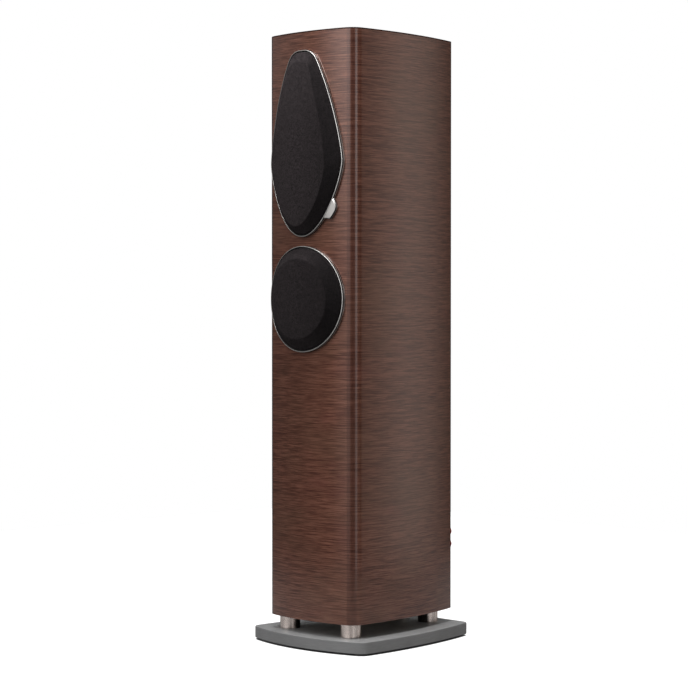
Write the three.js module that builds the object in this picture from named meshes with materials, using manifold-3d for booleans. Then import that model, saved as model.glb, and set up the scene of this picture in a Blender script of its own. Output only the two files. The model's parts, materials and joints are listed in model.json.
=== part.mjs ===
// Floorstanding loudspeaker, in millimetres, +Z up, front towards -Y, right side towards +X.
// The plan view is a bowed front between two round corners, bowed sides that taper to a narrow back.
// The working frame has y = 0 on the chord between the cabinet's two front corners and z = 0 on the floor.
import * as THREE from 'three';
import { mergeVertices } from 'three/addons/utils/BufferGeometryUtils.js';
import Module from 'manifold-3d';

const wasm = await Module();
wasm.setup();

// ---------------------------------------------------------------- driving dimensions

const SEAT = 0.1; // gap between two pieces that rest on each other
const FIT = 0.3; // gap around a piece that sits inside another

const PAD = { height: 3, radius: 16 };
const PLATE = {
  frontY: -8.5, frontWidth: 262.4, frontBow: 25.3,
  rearY: 276.8, rearWidth: 180.9, sideBow: 12.3,
  cornerRadius: 18, rearRadius: 15,
  thickness: 19, chamfer: 1.5,
};
const PILLAR = { height: 22.4, radius: 16.7, chamfer: 0.6 };
const CABINET = {
  frontY: 0, frontWidth: 202.9, frontBow: 14.15,
  rearY: 266.4, rearWidth: 122.6, sideBow: 12.9,
  cornerRadius: 21.7, rearRadius: 8,
  height: 950,
};
const WALL = { front: 22, side: 15, rear: 18, shelf: 18, brace: 15 };
const BAFFLE_SEAM_Y = 26; // joint line between the baffle and the side panels
const BACK_SLOT_HALF_WIDTH = 45.5; // the back panel and the top panel's tongue fill this slot

const PLATE_TOP = PAD.height + PLATE.thickness;
const CABINET_BOTTOM = PLATE_TOP + PILLAR.height;
const CABINET_TOP = CABINET_BOTTOM + CABINET.height;

const PAD_PLACES = { front: [100, 12], rear: [68, 252] };
const PILLAR_PLACES = { front: [72.1, 20.7], rear: [36.8, 233.7] };
const BOLT = { radius: 3.9, holeRadius: 4.3, headRadius: 8, headHeight: 5, recess: 6, bite: 12 };

const WOOFER_Z = 563.7;
const MIDBASS_Z = 785;
const TWEETER_Z = 903.5;
const DRIVER = { flangeRadius: 76, pocketRadius: 76.4, cutoutRadius: 67.6, mountY: -3 };
const TWEETER = { plateRadius: 37, pocketRadius: 37.4, cutoutRadius: 25.2, mountY: -6 };

// Trim ring: an L section whose wall stands off the baffle and whose flange lies in a rebate.
const TRIM = { wall: 1.5, stand: 6, flangeInset: 7.2, flangeThickness: 1.6, rebate: 2 };
const PEG = { inset: 4.4, radius: 1.6, holeRadius: 2, depth: 6 };

// Grille cap: a foot fills the trim ring, and the cloth's bevel rises from it to the front face.
// Above rollFrom the face bends back.
const GRILLE = {
  footInset: 2.1, footHeight: 2.6, clothInset: 3.6, innerInset: 7.3, bevelStart: 7, faceStand: 19.4,
  cloth: 2, clothEdge: 5, web: 2, rollFrom: 840, rollRadius: 757,
};

const LOWER_RING_RADIUS = 85.5;
const LOWER_FACE_RADIUS = 64.8;
const UPPER_RIM = {
  bottomZ: 663.9, bottomReach: 51.6, widestZ: 784, halfWidth: 84.6, lowerReach: 25,
  upperReach: 18, shoulderReach: 70, shoulder: [33.6, 946.4], shoulderLean: 29.4,
  cornerReach: 22.4, topReach: 4.6, topZ: 963.4,
};
const UPPER_FACE = {
  bottomZ: 680.4, bottomReach: 32.3, widestZ: 776.3, halfWidth: 61.3, lowerReach: 28.1,
  upperReach: 54, shoulderReach: 52.4, shoulder: [24.9, 931.3], shoulderLean: 19.8,
  cornerReach: 13.4, topReach: 8.4, topZ: 944.6,
};
const TAB = {
  top: 725, bottom: 693, tip: [75.8, 711.5], toe: [60.8, 691.5],
  chamfer: 1.2, crown: 0.88, stand: 5.8,
};

const BRACES = { upper: 667, lower: 352 }; // mid-heights
const PORT = { z: 425, bore: 25, tube: 28, flange: 38, flangeThickness: 4, length: 126 };
const TERMINAL = {
  z: 157, halfWidth: 33, halfHeight: 39, thickness: 4, cornerRadius: 6, openingWidth: 26, openingHeight: 30,
};
const POST = { x: 16, halfPitch: 10.5, stem: 3.9, tail: 3.5, flange: 8, wireHole: 1.6 };
const KNOB = { radius: 8, bore: 4.3, from: 284, to: 307 };

// Cone driver, as (radius, depth behind the flange's mounting face).
const BASKET_PROFILE = [
  [76, -5], [76, 0], [67, 0], [66.6, 4], [47, 50], [47, 51.7],
  [20.6, 51.7], [20.6, 49.7], [45, 49.7], [64.5, 3.2], [64.5, -1.2], [68, -1.2], [68, -5],
];
const BASKET_WINDOW = { length: 160, width: 26, height: 32, depth: 28, angles: [0, 60, 120] };
const MAGNET_PROFILE = [[20.4, 52], [44, 52], [44, 70], [24, 70], [24, 57], [20.4, 57]];
const YOKE_PROFILE = [[0, 50.5], [17.4, 50.5], [17.4, 70.3], [40, 70.3], [40, 76], [0, 76]];
const COIL_PROFILE = [[18.2, 24], [19.1, 24], [19.1, 60], [18.2, 60]];
const CONE_PROFILE = [[19.5, 26], [53.2, -0.8], [53.2, 0.8], [19.5, 27.6]];
const DUST_CAP = { radius: 22.4, apex: 14.5, edge: 23.2, thickness: 0.8, steps: 3 };
const SURROUND = { centre: 58.3, base: -1.5, outer: 4.3, inner: 3.5, edge: 67.7, lip: 0.8, steps: 4 };
const SPIDER = { from: 19.9, pitch: 5, crest: 44.6, trough: 46.6, foot: [43.8, 48.6], thickness: 0.8 };

// Tweeter, as (radius, y), except that the faceplate's heights count from its mounting face.
const FACEPLATE_PROFILE = [
  [TWEETER.plateRadius, -4], [TWEETER.plateRadius, 0], [16, 0], [13.6, -1.4], [18, -4],
];
const DOME = { radius: 12.5, apex: -13, edge: -8.4, thickness: 0.7, former: -4.6, steps: 3 };
const MOTOR = { pole: 11, gap: 13.3, radius: 24.5, back: 16 };

const BOARD = { y: 240, thickness: 1.6, halfWidth: 36, z: [200, 322] };
const INDUCTOR = { bore: 8, radius: 22, length: 18, x: -8, rise: 28 };
const CAPACITOR = { radius: 10, x: -14, drop: 8, length: 48 };
const CABLE_RADIUS = 2.2;

const ROUND = 24; // segments around a driver
const RING_POINTS = 36; // points around a grille or a trim ring
const SMALL_ROUND = 16;
const TINY_ROUND = 12;

// ---------------------------------------------------------------- materials

function paint(color, roughness, metalness = 0) {
  return new THREE.MeshStandardMaterial({ color, roughness, metalness });
}

const MATERIALS = {
  veneer: () => paint(0x5d3f36, 0.42),
  board: () => paint(0x8a6a4a, 0.85),
  blackPanel: () => paint(0x1c1a1a, 0.6),
  basePaint: () => paint(0x7d7d7d, 0.45),
  nickel: () => paint(0xb3a39d, 0.3, 1),
  trim: () => paint(0xc4c2be, 0.25, 1),
  cloth: () => paint(0x2b2628, 0.95),
  plastic: () => paint(0x17171a, 0.5),
  castMetal: () => paint(0x55565a, 0.5, 0.8),
  ferrite: () => paint(0x2f2f33, 0.7),
  steel: () => paint(0x9a9ca0, 0.35, 1),
  cone: () => paint(0x242428, 0.8),
  rubber: () => paint(0x151517, 0.75),
  former: () => paint(0xb06a35, 0.45, 0.6),
  damper: () => paint(0xc9a45a, 0.9),
  dome: () => paint(0x8d8a90, 0.35, 0.4),
  gold: () => paint(0xd4af5a, 0.25, 1),
  redPlastic: () => paint(0xa01818, 0.4),
  circuit: () => paint(0x2e5d3a, 0.6),
  copper: () => paint(0xb87333, 0.35, 1),
  film: () => paint(0xc9b037, 0.4),
  cable: () => paint(0x2a2a2a, 0.6),
};

// ---------------------------------------------------------------- solids

function signedVolume(positions, triangles) {
  const [a, b, c] = [new THREE.Vector3(), new THREE.Vector3(), new THREE.Vector3()];
  let volume = 0;
  for (let i = 0; i < triangles.length; i += 3) {
    a.fromArray(positions, triangles[i] * 3);
    b.fromArray(positions, triangles[i + 1] * 3);
    c.fromArray(positions, triangles[i + 2] * 3);
    volume += a.dot(b.cross(c)) / 6;
  }
  return volume;
}

// Turns a closed three.js geometry into a manifold solid with its faces pointing out.
function solid(geometry) {
  const bare = geometry.clone();
  bare.deleteAttribute('normal');
  bare.deleteAttribute('uv');
  const merged = mergeVertices(bare, 1e-4);
  const positions = new Float32Array(merged.attributes.position.array);
  const kept = [];
  for (let i = 0; i < merged.index.count; i += 3) {
    const corner = [0, 1, 2].map((k) => merged.index.getX(i + k));
    if (new Set(corner).size === 3) kept.push(...corner);
  }
  if (signedVolume(positions, kept) < 0) kept.reverse();
  const mesh = new wasm.Mesh({ numProp: 3, vertProperties: positions, triVerts: new Uint32Array(kept) });
  return new wasm.Manifold(mesh);
}

function cut(body, ...tools) {
  return tools.reduce((rest, tool) => rest.subtract(tool), body);
}

function join(body, ...others) {
  return others.reduce((whole, other) => whole.add(other), body);
}

function toMesh(name, body, material) {
  const { vertProperties, triVerts } = body.getMesh();
  const geometry = new THREE.BufferGeometry();
  geometry.setAttribute('position', new THREE.BufferAttribute(new Float32Array(vertProperties), 3));
  geometry.setIndex(new THREE.BufferAttribute(new Uint32Array(triVerts), 1));
  const flat = geometry.toNonIndexed();
  flat.computeVertexNormals();
  const mesh = new THREE.Mesh(flat, material());
  mesh.name = name;
  return mesh;
}

// ---------------------------------------------------------------- basic shapes

function box([x0, x1], [y0, y1], [z0, z1]) {
  const geometry = new THREE.BoxGeometry(x1 - x0, y1 - y0, z1 - z0);
  geometry.translate((x0 + x1) / 2, (y0 + y1) / 2, (z0 + z1) / 2);
  return solid(geometry);
}

function points(pairs) {
  return pairs.map(([r, h]) => new THREE.Vector2(r, h));
}

function ringProfile(pairs) {
  return points([...pairs, pairs[0]]);
}

// A turned piece about the Y axis through (x, z): the profile is (radius, y).
function turnedAlongY(profile, segments, x = 0, z = 0) {
  const geometry = new THREE.LatheGeometry(profile, segments);
  geometry.translate(x, 0, z);
  return solid(geometry);
}

// A turned piece about the Z axis through (x, y): the profile is (radius, z).
function turnedAlongZ(profile, segments, x = 0, y = 0) {
  const geometry = new THREE.LatheGeometry(profile, segments);
  geometry.rotateX(Math.PI / 2);
  geometry.translate(x, y, 0);
  return solid(geometry);
}

function rodProfile(radius, from, to) {
  return points([[0, from], [radius, from], [radius, to], [0, to]]);
}

function rodAlongY(radius, [from, to], segments, x = 0, z = 0) {
  return turnedAlongY(rodProfile(radius, from, to), segments, x, z);
}

function rodAlongZ(radius, [from, to], segments, x = 0, y = 0) {
  return turnedAlongZ(rodProfile(radius, from, to), segments, x, y);
}

function extrudeUp(shape, [from, to], options = {}) {
  const settings = { depth: to - from, bevelEnabled: false, curveSegments: 5, ...options };
  const geometry = new THREE.ExtrudeGeometry(shape, settings);
  geometry.translate(0, 0, from);
  return solid(geometry);
}

// Points of a shallow dome from the axis out to its edge, front height first.
function domeArc(edgeRadius, apex, edge, count) {
  const rise = Math.abs(edge - apex);
  const radius = (edgeRadius ** 2 + rise ** 2) / (2 * rise);
  const sweep = Math.asin(edgeRadius / radius);
  const sign = Math.sign(edge - apex);
  return Array.from({ length: count + 1 }, (_, i) => {
    const angle = (sweep * i) / count;
    return [radius * Math.sin(angle), apex + sign * radius * (1 - Math.cos(angle))];
  });
}

// ---------------------------------------------------------------- plan view

// Outline of the cabinet or of the base plate, made only of arcs and the straight rear edge.
function planShape(plan, { front = 0, side = 0, rear = 0 } = {}) {
  const half = plan.frontWidth / 2;
  const frontRadius = (half ** 2 + plan.frontBow ** 2) / (2 * plan.frontBow);
  const frontCentre = new THREE.Vector2(0, plan.frontY - plan.frontBow + frontRadius);
  const cornerFront = new THREE.Vector2(half, plan.frontY);
  const cornerRear = new THREE.Vector2(plan.rearWidth / 2, plan.rearY);
  const chord = cornerRear.clone().sub(cornerFront);
  const sideRadius = ((chord.length() / 2) ** 2 + plan.sideBow ** 2) / (2 * plan.sideBow);
  const outward = new THREE.Vector2(chord.y, -chord.x).normalize();
  const middle = cornerFront.clone().add(cornerRear).multiplyScalar(0.5);
  const sideCentre = middle.addScaledVector(outward, plan.sideBow - sideRadius);

  const frontArc = frontRadius - front;
  const sideArc = sideRadius - side;
  const rearY = plan.rearY - rear;
  const corner = Math.max(plan.cornerRadius - Math.max(front, side), 1);
  const rearCorner = Math.max(plan.rearRadius - Math.max(rear, side), 1);

  // The corner's centre lies inside the front arc and inside the side arc by the corner radius.
  const between = sideCentre.clone().sub(frontCentre);
  const gap = between.length();
  const a = frontArc - corner;
  const b = sideArc - corner;
  const along = (a ** 2 - b ** 2 + gap ** 2) / (2 * gap);
  const across = Math.sqrt(a ** 2 - along ** 2);
  const unit = between.normalize();
  const cornerCentre = new THREE.Vector2(
    frontCentre.x + unit.x * along - unit.y * across,
    frontCentre.y + unit.y * along + unit.x * across,
  );
  if (cornerCentre.y > frontCentre.y) {
    cornerCentre.set(
      frontCentre.x + unit.x * along + unit.y * across,
      frontCentre.y + unit.y * along - unit.x * across,
    );
  }
  const rearCentre = new THREE.Vector2(0, rearY - rearCorner);
  const drop = rearCentre.y - sideCentre.y;
  rearCentre.x = sideCentre.x + Math.sqrt((sideArc - rearCorner) ** 2 - drop ** 2);

  const toFront = Math.atan2(cornerCentre.y - frontCentre.y, cornerCentre.x - frontCentre.x);
  const toSide = Math.atan2(cornerCentre.y - sideCentre.y, cornerCentre.x - sideCentre.x);
  const toRear = Math.atan2(rearCentre.y - sideCentre.y, rearCentre.x - sideCentre.x);

  const shape = new THREE.Shape();
  shape.absarc(0, frontCentre.y, frontArc, -Math.PI - toFront, toFront, false);
  shape.absarc(cornerCentre.x, cornerCentre.y, corner, toFront, toSide, false);
  shape.absarc(sideCentre.x, sideCentre.y, sideArc, toSide, toRear, false);
  shape.absarc(rearCentre.x, rearCentre.y, rearCorner, toRear, Math.PI / 2, false);
  shape.absarc(-rearCentre.x, rearCentre.y, rearCorner, Math.PI / 2, Math.PI - toRear, false);
  shape.absarc(-sideCentre.x, sideCentre.y, sideArc, Math.PI - toRear, Math.PI - toSide, false);
  shape.absarc(-cornerCentre.x, cornerCentre.y, corner, Math.PI - toSide, Math.PI - toFront, false);
  return shape;
}

// The y of the baffle's bowed front surface at a given x.
function baffleY(x) {
  const half = CABINET.frontWidth / 2;
  const radius = (half ** 2 + CABINET.frontBow ** 2) / (2 * CABINET.frontBow);
  return CABINET.frontY - CABINET.frontBow + radius - Math.sqrt(radius ** 2 - x ** 2);
}

// ---------------------------------------------------------------- rings that follow the bowed baffle

function circleRing(radius, z) {
  return Array.from({ length: RING_POINTS }, (_, i) => {
    const angle = (2 * Math.PI * i) / RING_POINTS;
    return new THREE.Vector2(radius * Math.sin(angle), z - radius * Math.cos(angle));
  });
}

// A shield: round below, widest above the middle of its lower half, leaning sides and a flat top.
function shieldRing(s) {
  const lean = THREE.MathUtils.degToRad(s.shoulderLean);
  const up = new THREE.Vector2(-Math.sin(lean), Math.cos(lean));
  const bottom = new THREE.Vector2(0, s.bottomZ);
  const widest = new THREE.Vector2(s.halfWidth, s.widestZ);
  const shoulder = new THREE.Vector2(...s.shoulder);
  const top = new THREE.Vector2(0, s.topZ);
  const right = [
    new THREE.CubicBezierCurve(
      bottom,
      new THREE.Vector2(s.bottomReach, s.bottomZ),
      new THREE.Vector2(s.halfWidth, s.widestZ - s.lowerReach),
      widest,
    ),
    new THREE.CubicBezierCurve(
      widest,
      new THREE.Vector2(s.halfWidth, s.widestZ + s.upperReach),
      shoulder.clone().addScaledVector(up, -s.shoulderReach),
      shoulder,
    ),
    new THREE.CubicBezierCurve(
      shoulder,
      shoulder.clone().addScaledVector(up, s.cornerReach),
      new THREE.Vector2(s.topReach, s.topZ),
      top,
    ),
  ].flatMap((curve) => curve.getSpacedPoints(RING_POINTS / 6).slice(0, -1));
  right.push(top);
  const left = right.slice(1, -1).reverse().map((p) => new THREE.Vector2(-p.x, p.y));
  return [...right, ...left];
}

// Moves every point of a ring inwards along its normal.
function inset(ring, distance) {
  return ring.map((p, i) => {
    const before = ring[(i + ring.length - 1) % ring.length];
    const after = ring[(i + 1) % ring.length];
    const along = after.clone().sub(before).normalize();
    return new THREE.Vector2(p.x - along.y * distance, p.y + along.x * distance);
  });
}

function shrink(ring, factor) {
  const centre = ring.reduce((sum, p) => sum.add(p), new THREE.Vector2()).divideScalar(ring.length);
  return ring.map((p) => p.clone().sub(centre).multiplyScalar(factor).add(centre));
}

function surfaceY(p, stand) {
  return baffleY(p.x) - (typeof stand === 'function' ? stand(p.y) : stand);
}

// Skins a list of { ring, stand } sections, where stand is the height off the baffle: a number, or
// a function of z.
// With closed = true the last section joins the first, and otherwise both ends are capped.
function bowedSolid(sections, closed) {
  const count = sections[0].ring.length;
  const positions = [];
  const triangles = [];
  for (const { ring, stand } of sections) {
    for (const p of ring) positions.push(p.x, surfaceY(p, stand), p.y);
  }
  const spans = closed ? sections.length : sections.length - 1;
  for (let s = 0; s < spans; s += 1) {
    const here = s * count;
    const next = ((s + 1) % sections.length) * count;
    for (let i = 0; i < count; i += 1) {
      const j = (i + 1) % count;
      triangles.push(here + i, here + j, next + j, here + i, next + j, next + i);
    }
  }
  if (!closed) {
    for (const [s, flip] of [[0, true], [sections.length - 1, false]]) {
      const { ring, stand } = sections[s];
      const centre = ring.reduce((sum, p) => sum.add(p), new THREE.Vector2()).divideScalar(count);
      const apex = positions.length / 3;
      positions.push(centre.x, surfaceY(centre, stand), centre.y);
      for (let i = 0; i < count; i += 1) {
        const j = (i + 1) % count;
        triangles.push(apex, s * count + (flip ? j : i), s * count + (flip ? i : j));
      }
    }
  }
  const geometry = new THREE.BufferGeometry();
  geometry.setAttribute('position', new THREE.Float32BufferAttribute(positions, 3));
  geometry.setIndex(triangles);
  return solid(geometry);
}

function bowedBlock(ring, from, to) {
  const inner = [0.3, 0.6, 0.85];
  return bowedSolid([
    ...inner.map((factor) => ({ ring: shrink(ring, factor), stand: from })),
    { ring, stand: from },
    { ring, stand: to },
    ...inner.reverse().map((factor) => ({ ring: shrink(ring, factor), stand: to })),
  ], false);
}

// ---------------------------------------------------------------- trim rings and grilles

const LOWER = {
  rim: circleRing(LOWER_RING_RADIUS, WOOFER_Z),
  face: circleRing(LOWER_FACE_RADIUS, WOOFER_Z),
};
const UPPER = { rim: shieldRing(UPPER_RIM), face: shieldRing(UPPER_FACE) };

// Four pegs, an eighth of the way round from the lowest point and from the highest.
function pegPlaces({ rim }) {
  const path = inset(rim, PEG.inset);
  const right = [1, 3].map((eighth) => Math.round((eighth * path.length) / 8));
  return [...right, ...right.map((i) => path.length - i)].map((i) => path[i]);
}

function pegRods(outline, radius, back) {
  return pegPlaces(outline).map((p) => {
    const face = baffleY(p.x);
    return rodAlongY(radius, [face - 2, face + back], 8, p.x, p.y);
  });
}

function trimRing(outline) {
  const { rim } = outline;
  const foot = -TRIM.rebate;
  const flangeTop = foot + TRIM.flangeThickness;
  const ring = bowedSolid([
    { ring: rim, stand: foot },
    { ring: rim, stand: TRIM.stand },
    { ring: inset(rim, TRIM.wall), stand: TRIM.stand },
    { ring: inset(rim, TRIM.wall), stand: flangeTop },
    { ring: inset(rim, TRIM.flangeInset), stand: flangeTop },
    { ring: inset(rim, TRIM.flangeInset), stand: foot },
  ], true);
  return cut(ring, ...pegRods(outline, PEG.holeRadius, PEG.depth));
}

// The point where the right half of a ring, listed upwards, crosses a height.
function crossing(path, z) {
  const i = path.findIndex((p, k) => p.y <= z && path[k + 1].y > z);
  const [a, b] = [path[i], path[i + 1]];
  return a.clone().lerp(b, (z - a.y) / (b.y - a.y));
}

// A blank ear on the shield's lower right edge, with a chamfered rim.
function trimTab({ rim }) {
  const wallPath = inset(rim, TRIM.wall / 2);
  const low = crossing(wallPath, TAB.bottom);
  const high = crossing(wallPath, TAB.top);
  const between = wallPath.filter((p) => p.x > 0 && p.y > low.y + 1 && p.y < high.y - 1);
  const toe = new THREE.Vector2(...TAB.toe);
  const tip = new THREE.Vector2(...TAB.tip);
  const heel = low.clone().lerp(toe, 0.85);
  const side = toe.clone().lerp(tip, 0.55);
  const edge = [
    new THREE.LineCurve(low, heel),
    new THREE.QuadraticBezierCurve(heel, toe, toe.clone().lerp(side, 0.3)),
    new THREE.QuadraticBezierCurve(side, tip, high),
  ].flatMap((curve) => curve.getPoints(5));
  const ring = [...edge, ...between.reverse()];
  return bowedSolid([
    { ring, stand: FIT },
    { ring, stand: TAB.stand - TAB.chamfer },
    { ring: shrink(ring, TAB.crown), stand: TAB.stand },
  ], false);
}

// The height of the cap's front face off the baffle, less an offset.
function capStand(offset) {
  return (z) => GRILLE.faceStand - offset - Math.max(0, z - GRILLE.rollFrom) ** 2 / (2 * GRILLE.rollRadius);
}

function grilleCloth({ rim, face }) {
  const edge = inset(rim, GRILLE.clothInset);
  const innerEdge = inset(edge, GRILLE.cloth);
  const innerFace = inset(face, GRILLE.cloth * 0.3);
  const outer = capStand(0);
  const inner = capStand(GRILLE.cloth);
  return bowedSolid([
    { ring: shrink(face, 0.4), stand: outer },
    { ring: shrink(face, 0.75), stand: outer },
    { ring: face, stand: outer },
    { ring: edge, stand: GRILLE.bevelStart },
    { ring: edge, stand: GRILLE.clothEdge },
    { ring: innerEdge, stand: GRILLE.clothEdge },
    { ring: innerEdge, stand: GRILLE.clothEdge + 1 },
    { ring: innerFace, stand: inner },
    { ring: shrink(innerFace, 0.75), stand: inner },
    { ring: shrink(innerFace, 0.4), stand: inner },
  ], false);
}

function grilleFrame(outline) {
  const { rim, face } = outline;
  const foot = inset(rim, GRILLE.footInset);
  const edge = inset(rim, GRILLE.clothInset);
  const behindCloth = inset(edge, GRILLE.cloth + FIT);
  const inside = inset(rim, GRILLE.innerInset);
  const under = GRILLE.cloth + FIT;
  const frame = bowedSolid([
    { ring: foot, stand: FIT },
    { ring: foot, stand: GRILLE.footHeight },
    { ring: edge, stand: GRILLE.footHeight },
    { ring: edge, stand: GRILLE.clothEdge - FIT },
    { ring: behindCloth, stand: GRILLE.clothEdge - FIT },
    { ring: behindCloth, stand: GRILLE.clothEdge + 1 - FIT },
    { ring: inset(face, 1), stand: capStand(under) },
    { ring: inset(face, 4), stand: capStand(under) },
    { ring: inset(face, 4), stand: capStand(under + GRILLE.web) },
    { ring: inside, stand: GRILLE.clothEdge - 1 },
    { ring: inside, stand: FIT },
  ], true);
  return join(frame, ...pegRods(outline, PEG.radius, PEG.depth - 1));
}

// ---------------------------------------------------------------- cabinet

const CABINET_SPAN = [CABINET_BOTTOM, CABINET_TOP];
const FAR = 400; // beyond every upright face of the cabinet
const ALL_HEIGHTS = [0, 1200];
const OVERCUT = 5; // how far a cutter runs past the face it opens

function cabinetShell() {
  return cut(
    extrudeUp(planShape(CABINET), CABINET_SPAN),
    extrudeUp(planShape(CABINET, WALL), [CABINET_BOTTOM - 1, CABINET_TOP + 1]),
  );
}

function frontBaffle(shell) {
  const slab = shell.intersect(box([-FAR, FAR], [-FAR, BAFFLE_SEAM_Y - SEAT], ALL_HEIGHTS));
  const rebate = -(TRIM.rebate + FIT);
  const rebates = [LOWER, UPPER].map(({ rim }) => bowedBlock(inset(rim, -FIT), rebate, OVERCUT));
  const openings = [WOOFER_Z, MIDBASS_Z].flatMap((z) => [
    rodAlongY(DRIVER.pocketRadius, [-FAR, DRIVER.mountY], ROUND, 0, z),
    rodAlongY(DRIVER.cutoutRadius, [-FAR, FAR], ROUND, 0, z),
  ]);
  const tweeterOpenings = [
    rodAlongY(TWEETER.pocketRadius, [-FAR, TWEETER.mountY], ROUND, 0, TWEETER_Z),
    rodAlongY(TWEETER.cutoutRadius, [-FAR, FAR], ROUND, 0, TWEETER_Z),
  ];
  const pegHoles = [LOWER, UPPER].flatMap((o) => pegRods(o, PEG.holeRadius, PEG.depth));
  return cut(slab, ...rebates, ...openings, ...tweeterOpenings, ...pegHoles);
}

function sidePanel(shell, side) {
  const half = side > 0 ? [0, FAR] : [-FAR, 0];
  const slot = BACK_SLOT_HALF_WIDTH;
  const backSlot = box([-slot, slot], [CABINET.rearY - WALL.rear - OVERCUT, FAR], ALL_HEIGHTS);
  return cut(shell.intersect(box(half, [BAFFLE_SEAM_Y, FAR], ALL_HEIGHTS)), backSlot);
}

function backPanel() {
  const half = BACK_SLOT_HALF_WIDTH - FIT;
  const { z, openingWidth, openingHeight } = TERMINAL;
  const inner = CABINET.rearY - WALL.rear;
  const through = [inner - OVERCUT, FAR];
  const span = [CABINET_BOTTOM, CABINET_TOP - WALL.shelf - SEAT];
  const panel = box([-half, half], [inner, CABINET.rearY], span);
  const portHole = rodAlongY(PORT.tube + FIT, through, ROUND, 0, PORT.z);
  const terminalHole = box([-openingWidth, openingWidth], through, [z - openingHeight, z + openingHeight]);
  return cut(panel, portHole, terminalHole);
}

function roomShape(extra = 0) {
  const gap = FIT + extra;
  return planShape(CABINET, { front: WALL.front + gap, side: WALL.side + gap, rear: WALL.rear + gap });
}

function boltHoles(span) {
  return Object.values(PILLAR_PLACES).flatMap(([x, y]) => [-x, x].map(
    (bx) => rodAlongZ(BOLT.holeRadius, span, SMALL_ROUND, bx, y),
  ));
}

// Fills the cabinet's top and runs back over the back panel as a tongue.
function topPanel() {
  const span = [CABINET_TOP - WALL.shelf, CABINET_TOP];
  const half = BACK_SLOT_HALF_WIDTH - FIT;
  const tongue = box([-half, half], [CABINET.rearY - WALL.rear - OVERCUT, CABINET.rearY], span);
  return join(extrudeUp(roomShape(), span), tongue);
}

function bottomPanel() {
  const panel = extrudeUp(roomShape(), [CABINET_BOTTOM, CABINET_BOTTOM + WALL.shelf]);
  return cut(panel, ...boltHoles([CABINET_BOTTOM - 1, CABINET_BOTTOM + WALL.shelf + 1]));
}

// A horizontal ring brace with one large window.
function brace(z) {
  const [from, to] = [z - WALL.brace / 2, z + WALL.brace / 2];
  const window = extrudeUp(roomShape(20), [from - 1, to + 1], { curveSegments: 3 });
  return cut(extrudeUp(roomShape(), [from, to]), window);
}

function portTube() {
  const face = CABINET.rearY + SEAT;
  const lip = face + PORT.flangeThickness;
  const flare = 6;
  return turnedAlongY(ringProfile([
    [PORT.bore, lip - PORT.length],
    [PORT.bore, lip - 2 * flare],
    [PORT.bore + flare / 3, lip - flare / 2],
    [PORT.bore + flare, lip],
    [PORT.flange, lip],
    [PORT.flange, face],
    [PORT.tube, face],
    [PORT.tube, lip - PORT.length],
  ]), ROUND, 0, PORT.z);
}

// ---------------------------------------------------------------- cone drivers

// All heights are depths behind the flange's mounting face, so the flange front is negative.
function driverTurned(profile, z) {
  return turnedAlongY(profile.map((p) => new THREE.Vector2(p.x, p.y + DRIVER.mountY)), ROUND, 0, z);
}

function driverBasket(z) {
  const { length, width, height, depth, angles } = BASKET_WINDOW;
  const windows = angles.map((degrees) => {
    const geometry = new THREE.BoxGeometry(length, width, height);
    geometry.rotateY(THREE.MathUtils.degToRad(degrees));
    geometry.translate(0, DRIVER.mountY + depth, z);
    return solid(geometry);
  });
  return cut(driverTurned(ringProfile(BASKET_PROFILE), z), ...windows);
}

// The ring magnet with the front plate bonded to it.
function driverMagnet(z) {
  return driverTurned(ringProfile(MAGNET_PROFILE), z);
}

// The pole piece and the back plate in one.
function driverYoke(z) {
  return driverTurned(points(YOKE_PROFILE), z);
}

function driverVoiceCoil(z) {
  return driverTurned(ringProfile(COIL_PROFILE), z);
}

function driverCone(z) {
  return driverTurned(ringProfile(CONE_PROFILE), z);
}

function driverDustCap(z) {
  const { radius, apex, edge, thickness, steps } = DUST_CAP;
  const front = domeArc(radius, apex, edge, steps);
  const back = domeArc(radius - 1, apex + thickness, edge + 0.3, steps).reverse();
  return driverTurned(points([...front, ...back]), z);
}

function driverSurround(z) {
  const { centre, base, outer, inner, edge, lip, steps } = SURROUND;
  const arc = (radius, from, to) => Array.from({ length: steps + 1 }, (_, i) => {
    const angle = from + ((to - from) * i) / steps;
    return [centre + radius * Math.cos(angle), base - radius * Math.sin(angle)];
  });
  const clearOfLip = Math.asin(lip / outer);
  return driverTurned(ringProfile([
    [edge, base],
    [edge, base - lip],
    ...arc(outer, clearOfLip, Math.PI),
    ...arc(inner, Math.PI, 0),
  ]), z);
}

function driverSpider(z) {
  const { from, pitch, crest, trough, foot, thickness } = SPIDER;
  const wave = Array.from({ length: 5 }, (_, i) => [from + i * pitch, i % 2 ? crest : trough]);
  const front = [...wave, foot];
  const back = front.map(([r, h]) => [r, h + thickness]).reverse();
  return driverTurned(ringProfile([...front, ...back]), z);
}

// ---------------------------------------------------------------- tweeter

function tweeterFaceplate() {
  const profile = FACEPLATE_PROFILE.map(([r, h]) => [r, TWEETER.mountY + h]);
  return turnedAlongY(ringProfile(profile), ROUND, 0, TWEETER_Z);
}

function tweeterDome() {
  const { radius, apex, edge, thickness, former, steps } = DOME;
  const bore = radius - thickness;
  const outer = domeArc(radius, apex, edge, steps);
  const inner = domeArc(bore, apex + thickness, edge + 0.3, steps).reverse();
  return turnedAlongY(points([...outer, [radius, former], [bore, former], ...inner]), ROUND, 0, TWEETER_Z);
}

function tweeterMotor() {
  const { pole, gap, radius, back } = MOTOR;
  const front = TWEETER.mountY + FIT;
  return turnedAlongY(points([
    [0, front], [pole, front], [pole, 0], [gap, 0], [gap, front],
    [radius, front], [radius, back], [0, back],
  ]), ROUND, 0, TWEETER_Z);
}

// ---------------------------------------------------------------- stand

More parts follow.
